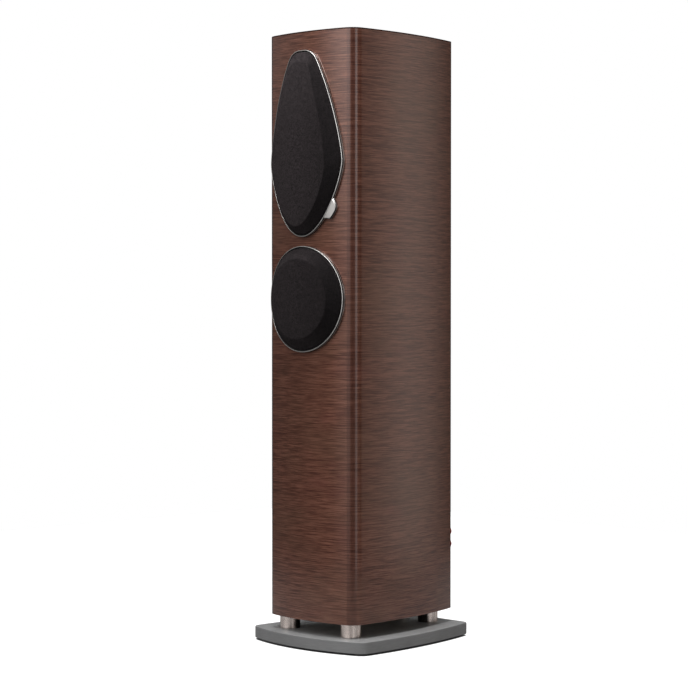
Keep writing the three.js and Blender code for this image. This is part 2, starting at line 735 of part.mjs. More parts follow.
function basePlate() {
  const { chamfer } = PLATE;
  const plate = extrudeUp(planShape(PLATE), [PAD.height + chamfer, PLATE_TOP - chamfer], {
    bevelEnabled: true, bevelThickness: chamfer, bevelSize: chamfer, bevelOffset: -chamfer, bevelSegments: 1,
  });
  const places = Object.values(PILLAR_PLACES).flatMap(([x, y]) => [[-x, y], [x, y]]);
  const recesses = places.map(([x, y]) => rodAlongZ(
    BOLT.headRadius + 0.5, [0, PAD.height + BOLT.recess], SMALL_ROUND, x, y,
  ));
  return cut(plate, ...recesses, ...boltHoles([0, PLATE_TOP + OVERCUT]));
}

function pillar(x, y) {
  const [from, to] = [PLATE_TOP + SEAT, CABINET_BOTTOM - SEAT];
  const { radius, chamfer } = PILLAR;
  return turnedAlongZ(ringProfile([
    [BOLT.holeRadius, from], [radius - chamfer, from], [radius, from + chamfer],
    [radius, to - chamfer], [radius - chamfer, to], [BOLT.holeRadius, to],
  ]), ROUND, x, y);
}

function pillarBolt(x, y) {
  const head = PAD.height + BOLT.recess - FIT;
  return turnedAlongZ(points([
    [0, head - BOLT.headHeight], [BOLT.headRadius, head - BOLT.headHeight], [BOLT.headRadius, head],
    [BOLT.radius, head], [BOLT.radius, CABINET_BOTTOM + BOLT.bite], [0, CABINET_BOTTOM + BOLT.bite],
  ]), TINY_ROUND, x, y);
}

function footPad(x, y) {
  return rodAlongZ(PAD.radius, [0, PAD.height - SEAT], SMALL_ROUND, x, y);
}

// ---------------------------------------------------------------- terminals and crossover

function roundedPlate(halfWidth, halfHeight, radius) {
  const [w, h] = [halfWidth - radius, halfHeight - radius];
  const shape = new THREE.Shape();
  shape.absarc(w, -h, radius, -Math.PI / 2, 0, false);
  shape.absarc(w, h, radius, 0, Math.PI / 2, false);
  shape.absarc(-w, h, radius, Math.PI / 2, Math.PI, false);
  shape.absarc(-w, -h, radius, Math.PI, Math.PI * 1.5, false);
  return shape;
}

const POST_PLACES = {
  upper_left: [-POST.x, TERMINAL.z + POST.halfPitch],
  upper_right: [POST.x, TERMINAL.z + POST.halfPitch],
  lower_left: [-POST.x, TERMINAL.z - POST.halfPitch],
  lower_right: [POST.x, TERMINAL.z - POST.halfPitch],
};
const TERMINAL_FACE = CABINET.rearY + SEAT + TERMINAL.thickness;

function terminalPlate() {
  const { halfWidth, halfHeight, cornerRadius, thickness, z } = TERMINAL;
  const shape = roundedPlate(halfWidth, halfHeight, cornerRadius);
  const settings = { depth: thickness, bevelEnabled: false, curveSegments: 3 };
  const geometry = new THREE.ExtrudeGeometry(shape, settings);
  geometry.rotateX(-Math.PI / 2);
  geometry.translate(0, CABINET.rearY + SEAT, z);
  const holes = Object.values(POST_PLACES).map(
    ([x, pz]) => rodAlongY(POST.tail + 0.4, [CABINET.rearY - OVERCUT, FAR], TINY_ROUND, x, pz),
  );
  return cut(solid(geometry), ...holes);
}

function bindingPost(x, z) {
  const flange = TERMINAL_FACE + SEAT;
  const stem = turnedAlongY(points([
    [0, CABINET.rearY - 10], [POST.tail, CABINET.rearY - 10], [POST.tail, flange],
    [POST.flange, flange], [POST.flange, flange + 3], [POST.stem, flange + 3],
    [POST.stem, KNOB.to - 5], [0, KNOB.to - 5],
  ]), TINY_ROUND, x, z);
  const wireY = (flange + 3 + KNOB.from) / 2;
  return cut(stem, rodAlongZ(POST.wireHole, [z - 10, z + 10], 8, x, wireY));
}

// Octagonal grip with a blind bore.
function bindingKnob(x, z) {
  const grip = turnedAlongY(points([
    [0, KNOB.from], [KNOB.radius - 1, KNOB.from], [KNOB.radius, KNOB.from + 1],
    [KNOB.radius, KNOB.to - 1], [KNOB.radius - 1, KNOB.to], [0, KNOB.to],
  ]), 8, x, z);
  return cut(grip, rodAlongY(KNOB.bore, [KNOB.from - 1, KNOB.to - 4], TINY_ROUND, x, z));
}

function crossoverBoard() {
  return box([-BOARD.halfWidth, BOARD.halfWidth], [BOARD.y, BOARD.y + BOARD.thickness], BOARD.z);
}

function crossoverInductor() {
  const { bore, radius, length, x, rise } = INDUCTOR;
  const back = BOARD.y - SEAT;
  return turnedAlongY(ringProfile([
    [bore, back - length], [radius, back - length], [radius, back], [bore, back],
  ]), ROUND, x, BOARD.z[0] + rise);
}

function crossoverCapacitor() {
  const { radius, x, drop, length } = CAPACITOR;
  const top = BOARD.z[1] - drop;
  return rodAlongZ(radius, [top - length, top], SMALL_ROUND, x, BOARD.y - radius - FIT);
}

// One cable from the crossover past both cone drivers to the tweeter.
function speakerCable() {
  const route = new THREE.CatmullRomCurve3([
    new THREE.Vector3(26, BOARD.y - 6, BOARD.z[1] - 40),
    new THREE.Vector3(30, 206, BRACES.lower),
    new THREE.Vector3(38, 190, PORT.z),
    new THREE.Vector3(36, 150, WOOFER_Z),
    new THREE.Vector3(36, 130, BRACES.upper),
    new THREE.Vector3(34, 120, MIDBASS_Z),
    new THREE.Vector3(12, 40, TWEETER_Z),
  ]);
  const profile = new THREE.Shape();
  profile.absarc(0, 0, CABLE_RADIUS, 0, 2 * Math.PI, false);
  return solid(new THREE.ExtrudeGeometry(profile, { steps: 22, extrudePath: route, curveSegments: 3 }));
}

// ---------------------------------------------------------------- assembly

const speaker = new THREE.Group();

function add(name, body, material) {
  speaker.add(toMesh(name, body, MATERIALS[material]));
}

function addCabinet() {
  const shell = cabinetShell();
  add('front_baffle', frontBaffle(shell), 'veneer');
  add('left_side_panel', sidePanel(shell, -1), 'veneer');
  add('right_side_panel', sidePanel(shell, 1), 'veneer');
  add('back_panel', backPanel(), 'blackPanel');
  add('top_panel', topPanel(), 'veneer');
  add('bottom_panel', bottomPanel(), 'board');
  add('upper_brace', brace(BRACES.upper), 'board');
  add('lower_brace', brace(BRACES.lower), 'board');
  add('port_tube', portTube(), 'plastic');
}

function addStand() {
  add('base_plate', basePlate(), 'basePaint');
  for (const [end, [x, y]] of Object.entries(PILLAR_PLACES)) {
    for (const [side, sign] of [['left', -1], ['right', 1]]) {
      add(`pillar_${end}_${side}`, pillar(sign * x, y), 'nickel');
      add(`pillar_bolt_${end}_${side}`, pillarBolt(sign * x, y), 'steel');
    }
  }
  for (const [end, [x, y]] of Object.entries(PAD_PLACES)) {
    add(`foot_pad_${end}_left`, footPad(-x, y), 'rubber');
    add(`foot_pad_${end}_right`, footPad(x, y), 'rubber');
  }
}

function addConeDriver(prefix, z) {
  add(`${prefix}_basket`, driverBasket(z), 'castMetal');
  add(`${prefix}_magnet`, driverMagnet(z), 'ferrite');
  add(`${prefix}_yoke`, driverYoke(z), 'steel');
  add(`${prefix}_voice_coil`, driverVoiceCoil(z), 'former');
  add(`${prefix}_cone`, driverCone(z), 'cone');
  add(`${prefix}_dust_cap`, driverDustCap(z), 'cone');
  add(`${prefix}_surround`, driverSurround(z), 'rubber');
  add(`${prefix}_spider`, driverSpider(z), 'damper');
}

function addTweeter() {
  add('tweeter_faceplate', tweeterFaceplate(), 'plastic');
  add('tweeter_dome', tweeterDome(), 'dome');
  add('tweeter_motor', tweeterMotor(), 'ferrite');
}

function addGrilles() {
  add('lower_trim_ring', trimRing(LOWER), 'trim');
  add('upper_trim_ring', join(trimRing(UPPER), trimTab(UPPER)), 'trim');
  add('lower_grille_frame', grilleFrame(LOWER), 'plastic');
  add('lower_grille_cloth', grilleCloth(LOWER), 'cloth');
  add('upper_grille_frame', grilleFrame(UPPER), 'plastic');
  add('upper_grille_cloth', grilleCloth(UPPER), 'cloth');
}

function addConnections() {
  add('terminal_plate', terminalPlate(), 'plastic');
  for (const [place, [x, z]] of Object.entries(POST_PLACES)) {
    add(`binding_post_${place}`, bindingPost(x, z), 'gold');
    add(`binding_knob_${place}`, bindingKnob(x, z), x > 0 ? 'redPlastic' : 'plastic');
  }
  add('crossover_board', crossoverBoard(), 'circuit');
  add('crossover_inductor', crossoverInductor(), 'copper');
  add('crossover_capacitor', crossoverCapacitor(), 'film');
  add('speaker_cable', speakerCable(), 'cable');
}

addCabinet();
addStand();
addConeDriver('woofer', WOOFER_Z);
addConeDriver('midbass', MIDBASS_Z);
addTweeter();
addGrilles();
addConnections();

// The part's origin is on the floor under the middle of the whole object.
speaker.position.y = -(PLATE.frontY - PLATE.frontBow + KNOB.to) / 2;

export default speaker;
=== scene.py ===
import json
from math import asin, atan2, copysign, cos, pi, radians, sin, sqrt
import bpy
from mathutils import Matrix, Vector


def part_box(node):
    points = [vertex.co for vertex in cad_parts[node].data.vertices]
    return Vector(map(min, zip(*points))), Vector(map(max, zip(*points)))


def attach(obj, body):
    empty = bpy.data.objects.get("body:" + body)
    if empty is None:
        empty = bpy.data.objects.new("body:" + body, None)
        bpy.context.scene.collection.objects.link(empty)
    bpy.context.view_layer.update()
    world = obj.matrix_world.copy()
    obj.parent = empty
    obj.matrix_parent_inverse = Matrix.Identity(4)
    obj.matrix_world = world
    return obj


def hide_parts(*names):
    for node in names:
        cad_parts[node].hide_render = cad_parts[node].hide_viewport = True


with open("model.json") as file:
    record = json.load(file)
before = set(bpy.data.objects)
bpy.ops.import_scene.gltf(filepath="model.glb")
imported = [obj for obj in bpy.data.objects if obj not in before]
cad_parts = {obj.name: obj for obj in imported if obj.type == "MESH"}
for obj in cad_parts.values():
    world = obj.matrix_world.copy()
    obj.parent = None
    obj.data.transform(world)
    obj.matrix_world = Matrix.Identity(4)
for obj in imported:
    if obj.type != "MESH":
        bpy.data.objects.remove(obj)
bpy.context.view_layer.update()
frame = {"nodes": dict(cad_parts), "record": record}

from types import SimpleNamespace as Values

import bmesh
import bpy
from mathutils import Vector

# Lengths are in millimetres until a mesh is made, and MM turns them into metres.
# The working frame is the cabinet's own: y = 0 on the chord between its two front corners,
# x = 0 on its centre line and z = 0 on the floor. SHIFT_Y carries it into the row frame.
MM = 0.001

CABINET = Values(front_y=0, front_width=202.9, front_bow=14.15, rear_y=266.4, rear_width=122.6,
               side_bow=12.9, corner=21.7, rear_corner=8)
PLATE = Values(front_y=-8.5, front_width=262.4, front_bow=25.3, rear_y=276.8, rear_width=180.9,
             side_bow=12.3, corner=18, rear_corner=15)
WALL = dict(front=22, side=15, rear=18)
SHELF = 18
ARC_STEPS = Values(front=80, corner=24, side=56, rear=12)


def box_mm(node):
    low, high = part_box(node)
    return low / MM, high / MM


def middle(node):
    low, high = box_mm(node)
    return (low + high) / 2


SHIFT_Y = box_mm("front_baffle")[0].y + CABINET.front_bow
SHIFT = Vector((0, SHIFT_Y, 0))
BOTTOM, TOP = box_mm("front_baffle")[0].z, box_mm("front_baffle")[1].z
WOOFER_Z = middle("woofer_basket").z
MIDBASS_Z = middle("midbass_basket").z
TWEETER_Z = middle("tweeter_faceplate").z


def local_y(row_y):
    """A y of the row frame, in the cabinet's own frame."""
    return row_y - SHIFT_Y


def in_row(point):
    """A point of the cabinet's own frame in millimetres, as a point of the row frame in metres."""
    return (point + SHIFT) * MM


def bow_radius(half, bow):
    """Radius of an arc of half chord `half` that stands `bow` proud of its chord."""
    return (half**2 + bow**2) / (2 * bow)


# ---- outlines

def arc(centre, radius, start, end, count):
    """Points of an arc without its last one, so that arcs chain into a loop."""
    return [
        Vector((centre[0] + radius * cos(a), centre[1] + radius * sin(a)))
        for a in (start + (end - start) * k / count for k in range(count))
    ]


def plan_outline(plan, front=0.0, side=0.0, rear=0.0):
    """Plan view of the cabinet or the base plate, offset inwards by the three insets."""
    half = plan.front_width / 2
    front_radius = bow_radius(half, plan.front_bow)
    front_centre = Vector((0, plan.front_y - plan.front_bow + front_radius))
    a, b = Vector((half, plan.front_y)), Vector((plan.rear_width / 2, plan.rear_y))
    chord = b - a
    bow = plan.side_bow
    side_radius = bow_radius(chord.length / 2, bow)
    outward = Vector((chord.y, -chord.x)).normalized()
    side_centre = (a + b) / 2 + outward * (bow - side_radius)
    front_arc, side_arc = front_radius - front, side_radius - side
    rear_y = plan.rear_y - rear
    corner = max(plan.corner - max(front, side), 1)
    rear_corner = max(plan.rear_corner - max(rear, side), 1)
    between = side_centre - front_centre
    gap = between.length
    along = ((front_arc - corner) ** 2 - (side_arc - corner) ** 2 + gap**2) / (2 * gap)
    across = sqrt((front_arc - corner) ** 2 - along**2)
    unit = between.normalized()
    normal = Vector((-unit.y, unit.x))
    corner_centre = min(
        (front_centre + unit * along + normal * s * across for s in (-1, 1)), key=lambda p: p.y
    )
    centre_y = rear_y - rear_corner
    reach = sqrt((side_arc - rear_corner) ** 2 - (centre_y - side_centre.y) ** 2)
    rear_centre = Vector((side_centre.x + reach, centre_y))

    def angle(origin, point):
        return atan2(point.y - origin.y, point.x - origin.x)

    to_front = angle(front_centre, corner_centre)
    to_side = angle(side_centre, corner_centre)
    to_rear = angle(side_centre, rear_centre)
    right = (
        arc(front_centre, front_arc, -pi / 2, to_front, ARC_STEPS.front // 2)
        + arc(corner_centre, corner, to_front, to_side, ARC_STEPS.corner)
        + arc(side_centre, side_arc, to_side, to_rear, ARC_STEPS.side)
        + arc(rear_centre, rear_corner, to_rear, pi / 2, ARC_STEPS.rear)
        + [Vector((rear_centre.x, rear_y))]
    )
    left = [Vector((-p.x, p.y)) for p in reversed(right[1:])]
    return right + left


def baffle_y(x):
    """The bowed front surface of the cabinet."""
    bow = CABINET.front_bow
    radius = bow_radius(CABINET.front_width / 2, bow)
    return CABINET.front_y - bow + radius - sqrt(radius**2 - x**2)


def bezier(p0, p1, p2, p3, count):
    """Points of a cubic curve without its last one."""
    out = []
    for k in range(count):
        t = k / count
        s = 1 - t
        out.append(p0 * s**3 + p1 * 3 * s * s * t + p2 * 3 * s * t * t + p3 * t**3)
    return out


def turns(count):
    """Angles that go once round a circle."""
    return [2 * pi * k / count for k in range(count)]


def shares(count):
    """0, then equal steps up to 1."""
    return [k / count for k in range(count + 1)]


def circle_outline(radius, z, count=180):
    return [Vector((radius * sin(a), z - radius * cos(a))) for a in turns(count)]


UPPER_RIM = Values(bottom=663.9, bottom_reach=51.6, widest=784, half_width=84.6, lower_reach=25,
                 upper_reach=18, shoulder_reach=70, shoulder=(33.6, 946.4), lean=29.4,
                 corner_reach=22.4, top_reach=4.6, top=963.4)
UPPER_FACE = Values(bottom=680.4, bottom_reach=32.3, widest=776.3, half_width=61.3, lower_reach=28.1,
                  upper_reach=54, shoulder_reach=52.4, shoulder=(24.9, 931.3), lean=19.8,
                  corner_reach=13.4, top_reach=8.4, top=944.6)
LOWER_RING_RADIUS = 85.5
LOWER_FACE_RADIUS = 64.8


def shield_outline(s, count=30):
    """Round below, leaning sides and a flat top. Listed up the right side and down the left."""
    lean = radians(s.lean)
    up = Vector((-sin(lean), cos(lean)))
    bottom, top = Vector((0, s.bottom)), Vector((0, s.top))
    widest, shoulder = Vector((s.half_width, s.widest)), Vector(s.shoulder)
    right = (
        bezier(bottom, Vector((s.bottom_reach, s.bottom)),
               widest - Vector((0, s.lower_reach)), widest, count)
        + bezier(widest, widest + Vector((0, s.upper_reach)),
                 shoulder - up * s.shoulder_reach, shoulder, count)
        + bezier(shoulder, shoulder + up * s.corner_reach,
                 Vector((s.top_reach, s.top)), top, count)
        + [top]
    )
    left = [Vector((-p.x, p.y)) for p in reversed(right[1:-1])]
    return right + left


def inset(outline, distance):
    """Every point of an outline moved inwards along its normal."""
    moved = []
    for k, p in enumerate(outline):
        along = (outline[(k + 1) % len(outline)] - outline[k - 1]).normalized()
        moved.append(Vector((p.x - along.y * distance, p.y + along.x * distance)))
    return moved


def shrink(outline, factor):
    centre = sum(outline, Vector((0, 0))) / len(outline)
    return [centre + (p - centre) * factor for p in outline]


# ---- rings in space

def level(outline, z):
    """A plan outline at one height."""
    return [Vector((p.x, p.y, z)) for p in outline]


def bowed(outline, stand):
    """A front-view outline that stands off the bowed baffle, by a length or by a function of z."""
    height = stand if callable(stand) else lambda _: stand
    return [Vector((p.x, baffle_y(p.x) - height(p.y), p.y)) for p in outline]


def ring_about_y(radius, y, x, z, count):
    return [Vector((x + radius * sin(a), y, z - radius * cos(a))) for a in turns(count)]


def ring_about_z(radius, z, x, y, count):
    return [Vector((x + radius * cos(a), y + radius * sin(a), z)) for a in turns(count)]


LONGEST_ROUNDING = 0.45


def toward(ring, other, distance):
    """The points of a ring moved towards those of another, by less than half the way."""
    return [
        p + (q - p).normalized() * min(distance, LONGEST_ROUNDING * (q - p).length)
        for p, q in zip(ring, other)
    ]


def rounded(stops, closed=False, steps=4):
    """Rings from (ring, radius) stops, with each corner of the section rounded by its radius."""
    rings = []
    count = len(stops)
    for k, (ring, radius) in enumerate(stops):
        if radius == 0 or (not closed and k in (0, count - 1)):
            rings.append(ring)
            continue
        starts = toward(ring, stops[k - 1][0], radius)
        ends = toward(ring, stops[(k + 1) % count][0], radius)
        for t in shares(steps):
            rings.append([
                a * (1 - t) ** 2 + p * 2 * t * (1 - t) + b * t * t
                for a, p, b in zip(starts, ring, ends)
            ])
    return rings


def cap_end(bm, ring, apex, flip):
    """Closes an open end by a fan from its middle, or from the apex if one is given."""
    place = in_row(apex) if apex is not None else sum((v.co for v in ring), Vector()) / len(ring)
    tip = bm.verts.new(place)
    for a, b in zip(ring, ring[1:] + ring[:1]):
        bm.faces.new((tip, b, a) if flip else (tip, a, b))


def skin(rings, closed=False, start=None, end=None):
    """A closed mesh through the rings, whose open ends are capped."""
    bm = bmesh.new()
    made = [[bm.verts.new(in_row(p)) for p in ring] for ring in rings]
    count = len(rings[0])
    pairs = list(zip(made, made[1:])) + ([(made[-1], made[0])] if closed else [])
    for here, there in pairs:
        for k in range(count):
            j = (k + 1) % count
            bm.faces.new((here[k], here[j], there[j], there[k]))
    if not closed:
        cap_end(bm, made[0], start, True)
        cap_end(bm, made[-1], end, False)
    bmesh.ops.recalc_face_normals(bm, faces=bm.faces)
    if bm.calc_volume(signed=True) < 0:
        bmesh.ops.reverse_faces(bm, faces=bm.faces)
    return bm


def solid(stops, closed=False, steps=4, start=None, end=None):
    """A closed mesh through (ring, radius) stops, with its corners rounded."""
    return skin(rounded(stops, closed, steps), closed, start, end)


def lathed(profile, place, axis="y", closed=False, count=96, steps=4):
    """A turned mesh from (radius, height, rounding) points. An end on the axis becomes a point."""
    x, other = place
    make = ring_about_y if axis == "y" else ring_about_z

    def tip(radius, height, _):
        if radius == 0:
            return Vector((x, height, other)) if axis == "y" else Vector((x, other, height))

    stops = [(make(r, h, x, other, count), fillet) for r, h, fillet in profile if r > 0]
    return solid(stops, closed, steps, tip(*profile[0]), tip(*profile[-1]))


# ---- pieces

SHARP = radians(38)
WELD = 0.002 * MM


def smooth_shading(bm):
    """Smooth everywhere but across sharp edges."""
    for edge in bm.edges:
        edge.smooth = len(edge.link_faces) != 2 or edge.calc_face_angle() < SHARP
    for face in bm.faces:
        face.smooth = True


def to_object(name, bm):
    smooth_shading(bm)
    mesh = bpy.data.meshes.new(name)
    bm.to_mesh(mesh)
    bm.free()
    obj = bpy.data.objects.new(name, mesh)
    bpy.context.scene.collection.objects.link(obj)
    return obj


def piece(name, made, slot, body="cabinet", stands_for=()):
    """A named visible piece of one material, which rides on a body and stands for CAD nodes."""
    obj = made if isinstance(made, bpy.types.Object) else to_object(name, made)
    obj.name = obj.data.name = name
    obj.data.materials.clear()
    obj.data.materials.append(MATERIALS[slot])
    weighted = obj.modifiers.new("even_shading", "WEIGHTED_NORMAL")
    weighted.keep_sharp = True
    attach(obj, body)
    if stands_for:
        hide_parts(*stands_for)
    return obj


def turned(name, profile, place, slot, axis="y", closed=False, **where):
    return piece(name, lathed(profile, place, axis, closed), slot, **where)


def weld(obj):
    bm = bmesh.new()
    bm.from_mesh(obj.data)
    bmesh.ops.remove_doubles(bm, verts=bm.verts, dist=WELD)
    smooth_shading(bm)
    bm.to_mesh(obj.data)
    bm.free()


def combine(made, tools, operation="DIFFERENCE"):
    """Cuts closed bmeshes out of an object, or joins them to it, exactly."""
    obj = made if isinstance(made, bpy.types.Object) else to_object("blank", made)
    for bm in tools:
        tool = to_object("tool", bm)
        step = obj.modifiers.new("step", "BOOLEAN")
        step.operation = operation
        step.solver = "EXACT"
        step.object = tool
        bpy.context.view_layer.update()
        graph = bpy.context.evaluated_depsgraph_get()
        done = bpy.data.meshes.new_from_object(obj.evaluated_get(graph))
        obj.modifiers.clear()
        obj.data = done
        bpy.data.objects.remove(tool)
    weld(obj)
    return obj


def block(x, y, z):
    corners = [Vector(p) for p in ((x[0], y[0]), (x[1], y[0]), (x[1], y[1]), (x[0], y[1]))]
    return skin([level(corners, height) for height in z])


def rod_about_y(radius, y, x, z, count=96):
    return skin([ring_about_y(radius, end, x, z, count) for end in y])


def rod_about_z(radius, z, x, y, count=64):
    return skin([ring_about_z(radius, end, x, y, count) for end in z])


# ---- materials

# Where each mode of the Mix node keeps its first input, its second input and its result.
MIX_SOCKETS = {"FLOAT": (2, 3, 0), "VECTOR": (4, 5, 1), "RGBA": (6, 7, 2)}


class Nodes:
    """A node tree built from small calls. Kinds are named without their ShaderNode prefix."""

    def __init__(self, tree):
        self.tree = tree

    def node(self, kind, inputs=None, **settings):
        made = self.tree.nodes.new("ShaderNode" + kind)
        for key, value in settings.items():
            setattr(made, key, value)
        for key, value in (inputs or {}).items():
            self.put(made.inputs[key], value)
        return made

    def put(self, socket, value):
        if isinstance(value, bpy.types.NodeSocket):
            self.tree.links.new(value, socket)
        elif socket.type == "RGBA":
            socket.default_value = (*value, 1)
        else:
            socket.default_value = value

    def math(self, operation, a, b=0.0, c=0.0):
        return self.node("Math", {0: a, 1: b, 2: c}, operation=operation).outputs[0]

    def vector(self, operation, inputs, result="Vector"):
        return self.node("VectorMath", inputs, operation=operation).outputs[result]

    def product(self, first, *others):
        for other in others:
            first = self.math("MULTIPLY", first, other)
        return first

    def remap(self, value, low, high, to_low=0.0, to_high=1.0, kind="SMOOTHSTEP"):
        inputs = {"Value": value, "From Min": low, "From Max": high, "To Min": to_low, "To Max": to_high}
        return self.node("MapRange", inputs, interpolation_type=kind).outputs[0]

    def mix(self, kind, factor, a, b):
        first, second, result = MIX_SOCKETS[kind]
        return self.node("Mix", {0: factor, first: a, second: b}, data_type=kind).outputs[result]

    def blend(self, factor, a, b):
        return self.mix("RGBA", factor, a, b)

    def axes(self, vector):
        return self.node("SeparateXYZ", {0: vector}).outputs

    def seen_by_camera(self):
        return self.node("LightPath").outputs["Is Camera Ray"]


class Shader(Nodes):
    """A material whose texture follows the piece's own coordinates."""

    def __init__(self, name):
        self.material = bpy.data.materials.new(name)
        self.material.use_nodes = True
        super().__init__(self.material.node_tree)
        self.bsdf = next(n for n in self.tree.nodes if n.type == "BSDF_PRINCIPLED")
        self.place = self.node("TexCoord").outputs["Object"]

    def set(self, **inputs):
        for key, value in inputs.items():
            self.put(self.bsdf.inputs[key.replace("_", " ").title().replace("Ior", "IOR")], value)

    def scaled(self, *scale):
        """The place in space, stretched by one scale or by three. Scales are in cells per metre."""
        return self.vector("MULTIPLY", {0: self.place, 1: scale if len(scale) == 3 else scale * 3})

    def noise(self, vector, detail=3.0, roughness=0.55, distortion=0.0):
        inputs = {"Vector": vector, "Scale": 1.0, "Detail": detail, "Roughness": roughness,
                  "Distortion": distortion}
        return self.node("TexNoise", inputs).outputs["Fac"]

    def dimmed(self, color, shade):
        return self.vector("SCALE", {0: color, "Scale": shade})

    def varied(self, noise, color, least, most):
        """A colour that a noise takes from its darkest to its palest multiple."""
        darkest, palest = (tuple(c * k for c in color) for k in (least, most))
        return self.blend(self.remap(noise, 0.3, 0.7), darkest, palest)

    def ramp(self, value, *stops):
        made = self.node("ValToRGB", {"Fac": value})
        elements = made.color_ramp.elements
        while len(elements) < len(stops):
            elements.new(0.5)
        for element, (position, color) in zip(elements, stops):
            element.position = position
            element.color = (*color, 1)
        return made.outputs["Color"]

    def bump(self, height, strength, distance_mm):
        inputs = {"Height": height, "Strength": strength, "Distance": distance_mm * MM}
        self.put(self.bsdf.inputs["Normal"], self.node("Bump", inputs).outputs["Normal"])

    def normal(self):
        """The x, y and z of the true normal."""
        return self.axes(self.node("NewGeometry").outputs["True Normal"])

    def facing(self, target):
        """How squarely the surface faces the upright line through a place: 1 towards it, -1 away."""
        way = self.vector("SUBTRACT", {0: target, 1: self.place})
        level_way = self.vector("NORMALIZE", {0: self.vector("MULTIPLY", {0: way, 1: (1, 1, 0)})})
        normal = self.node("NewGeometry").outputs["Normal"]
        return self.vector("DOT_PRODUCT", {0: level_way, 1: normal}, "Value")

    def slant(self):
        """0 where the surface faces the viewer, 1 where it is seen edge-on."""
        return self.node("LayerWeight", {"Blend": 0.5}).outputs["Facing"]


VENEER = Values(
    dark=(0.070, 0.0230, 0.0145), middle=(0.130, 0.0490, 0.0310), pale=(0.205, 0.0840, 0.0560),
    pore=(0.035, 0.015, 0.010), brown=(0.125, 0.072, 0.045), rose=(0.150, 0.048, 0.038),
    # Painted shade: corner darkens the front corner fillets; edge is the near-black of edges seen edge-on,
    # and of the dark line along the top edge.
    corner=(0.040, 0.013, 0.010), edge=(0.010, 0.005, 0.004),
)


def veneer_figure(s, flat):
    """Dark red-brown wood colour with fine level grain, and its fibres and pores as heights."""

    def grained(along, across):
        return s.mix("VECTOR", flat, s.scaled(along, along, across), s.scaled(across, along, along))

    cloud = s.noise(s.scaled(7, 7, 10), detail=2)
    drift = s.noise(s.scaled(11, 11, 26), detail=2)
    bands = s.noise(grained(5, 260), detail=2, roughness=0.6)
    fibres = s.noise(grained(26, 950), detail=2, roughness=0.6)
    pores = s.noise(grained(90, 1500), detail=1, roughness=0.5)
    tone = s.math("MULTIPLY_ADD", bands, 0.2, s.product(fibres, 0.8))
    color = s.ramp(tone, (0.40, VENEER.dark), (0.50, VENEER.middle), (0.60, VENEER.pale))
    color = s.blend(s.remap(pores, 0.28, 0.40, 0.45, 0.0), color, VENEER.pore)
    color = s.blend(s.remap(cloud, 0.40, 0.70, 0.0, 0.25), color, VENEER.brown)
    color = s.blend(s.remap(drift, 0.55, 0.75, 0.0, 0.25), color, VENEER.rose)
    return color, fibres, pores


def veneer_material():
    """Veneer under satin lacquer, with painted shade on the front corner fillets and on the front and rear
    edges where they are seen edge-on, and a dark line along the top edge.
    """
    s = Shader("veneer")
    across, _, upward = s.normal()
    flat = s.remap(s.math("ABSOLUTE", upward), 0.6, 0.8)
    color, fibres, pores = veneer_figure(s, flat)
    _, depth, height = s.axes(s.place)
    front, rear = SHIFT_Y * MM, (SHIFT_Y + CABINET.rear_y) * MM
    near_front = s.remap(depth, front + 26 * MM, front + 14 * MM)
    near_rear = s.remap(depth, rear - 12 * MM, rear - 6 * MM)
    turn = s.math("ABSOLUTE", across)
    # Painted shade: the front corner fillets are darkened towards the corner colour.
    corner_shade = s.product(s.remap(turn, 0.28, 0.40), s.remap(turn, 0.97, 0.85), near_front, 0.45)
    color = s.blend(corner_shade, color, VENEER.corner)
    # A dark line along the top edge, and painted shade on the front and rear edges where they are seen
    # edge-on, which also lose their gloss.
    rim = s.product(s.remap(height, (TOP - 2.6) * MM, (TOP - 1.8) * MM), s.remap(flat, 0.0, 1.0, 0.9, 0.0))
    corner = s.product(s.remap(s.slant(), 0.55, 0.85), s.math("MAXIMUM", near_front, near_rear))
    edge = s.math("MAXIMUM", corner, rim)
    s.set(base_color=s.blend(edge, color, VENEER.edge))
    s.set(metallic=s.remap(edge, 0, 1, 0.5, 0.0), roughness=s.remap(fibres, 0.3, 0.7, 0.36, 0.44))
    s.set(coat_weight=s.remap(edge, 0, 1, 1.0, 0.03), coat_roughness=0.10)
    s.set(specular_ior_level=s.remap(edge, 0, 1, 0.2, 0.0))
    s.bump(s.math("MULTIPLY_ADD", pores, 0.5, fibres), 0.12, 0.05)
    return s.material


CLOTH = Values(color=(0.0265, 0.0215, 0.0228), pitch=1.1 * MM)


def cloth_material():
    """Black stretch cloth with a fine two-way weave. A painted sheen makes it paler where it is seen at a
    slant, and painted shade darkens it towards the bottom.
    """
    s = Shader("grille_cloth")
    x, _, z = s.axes(s.place)
    warp, weft = (s.math("SINE", s.product(axis, 2 * pi / CLOTH.pitch)) for axis in (x, z))
    weave = s.math("MULTIPLY_ADD", s.product(warp, weft), 0.5, 0.5)
    patches = s.noise(s.scaled(160), detail=4, roughness=0.75)
    lint = s.noise(s.scaled(750), detail=1, roughness=0.5)
    threads = s.math("MULTIPLY_ADD", weave, 0.15, s.product(lint, 0.55))
    mottle = s.math("MULTIPLY_ADD", patches, 0.3, threads)
    # Painted sheen makes the cloth paler where it is seen at a slant, and painted shade darkens it towards
    # the bottom.
    shade = s.product(
        s.remap(s.slant(), 0.0, 0.40, 0.38, 1.0),
        s.remap(mottle, 0.35, 0.65, 0.4, 1.6),
        s.remap(z, 0.45, 0.95, 0.5, 0.9, kind="LINEAR"),
    )
    s.set(base_color=s.dimmed(CLOTH.color, shade), roughness=0.95, specular_ior_level=0.1)
    s.bump(s.math("MULTIPLY_ADD", lint, 0.5, weave), 0.4, 0.2)
    return s.material


METAL_LIP, METAL_FOOT, WALL_BLACK = (0.62, 0.60, 0.58), (0.55, 0.52, 0.50), (0.012, 0.011, 0.011)


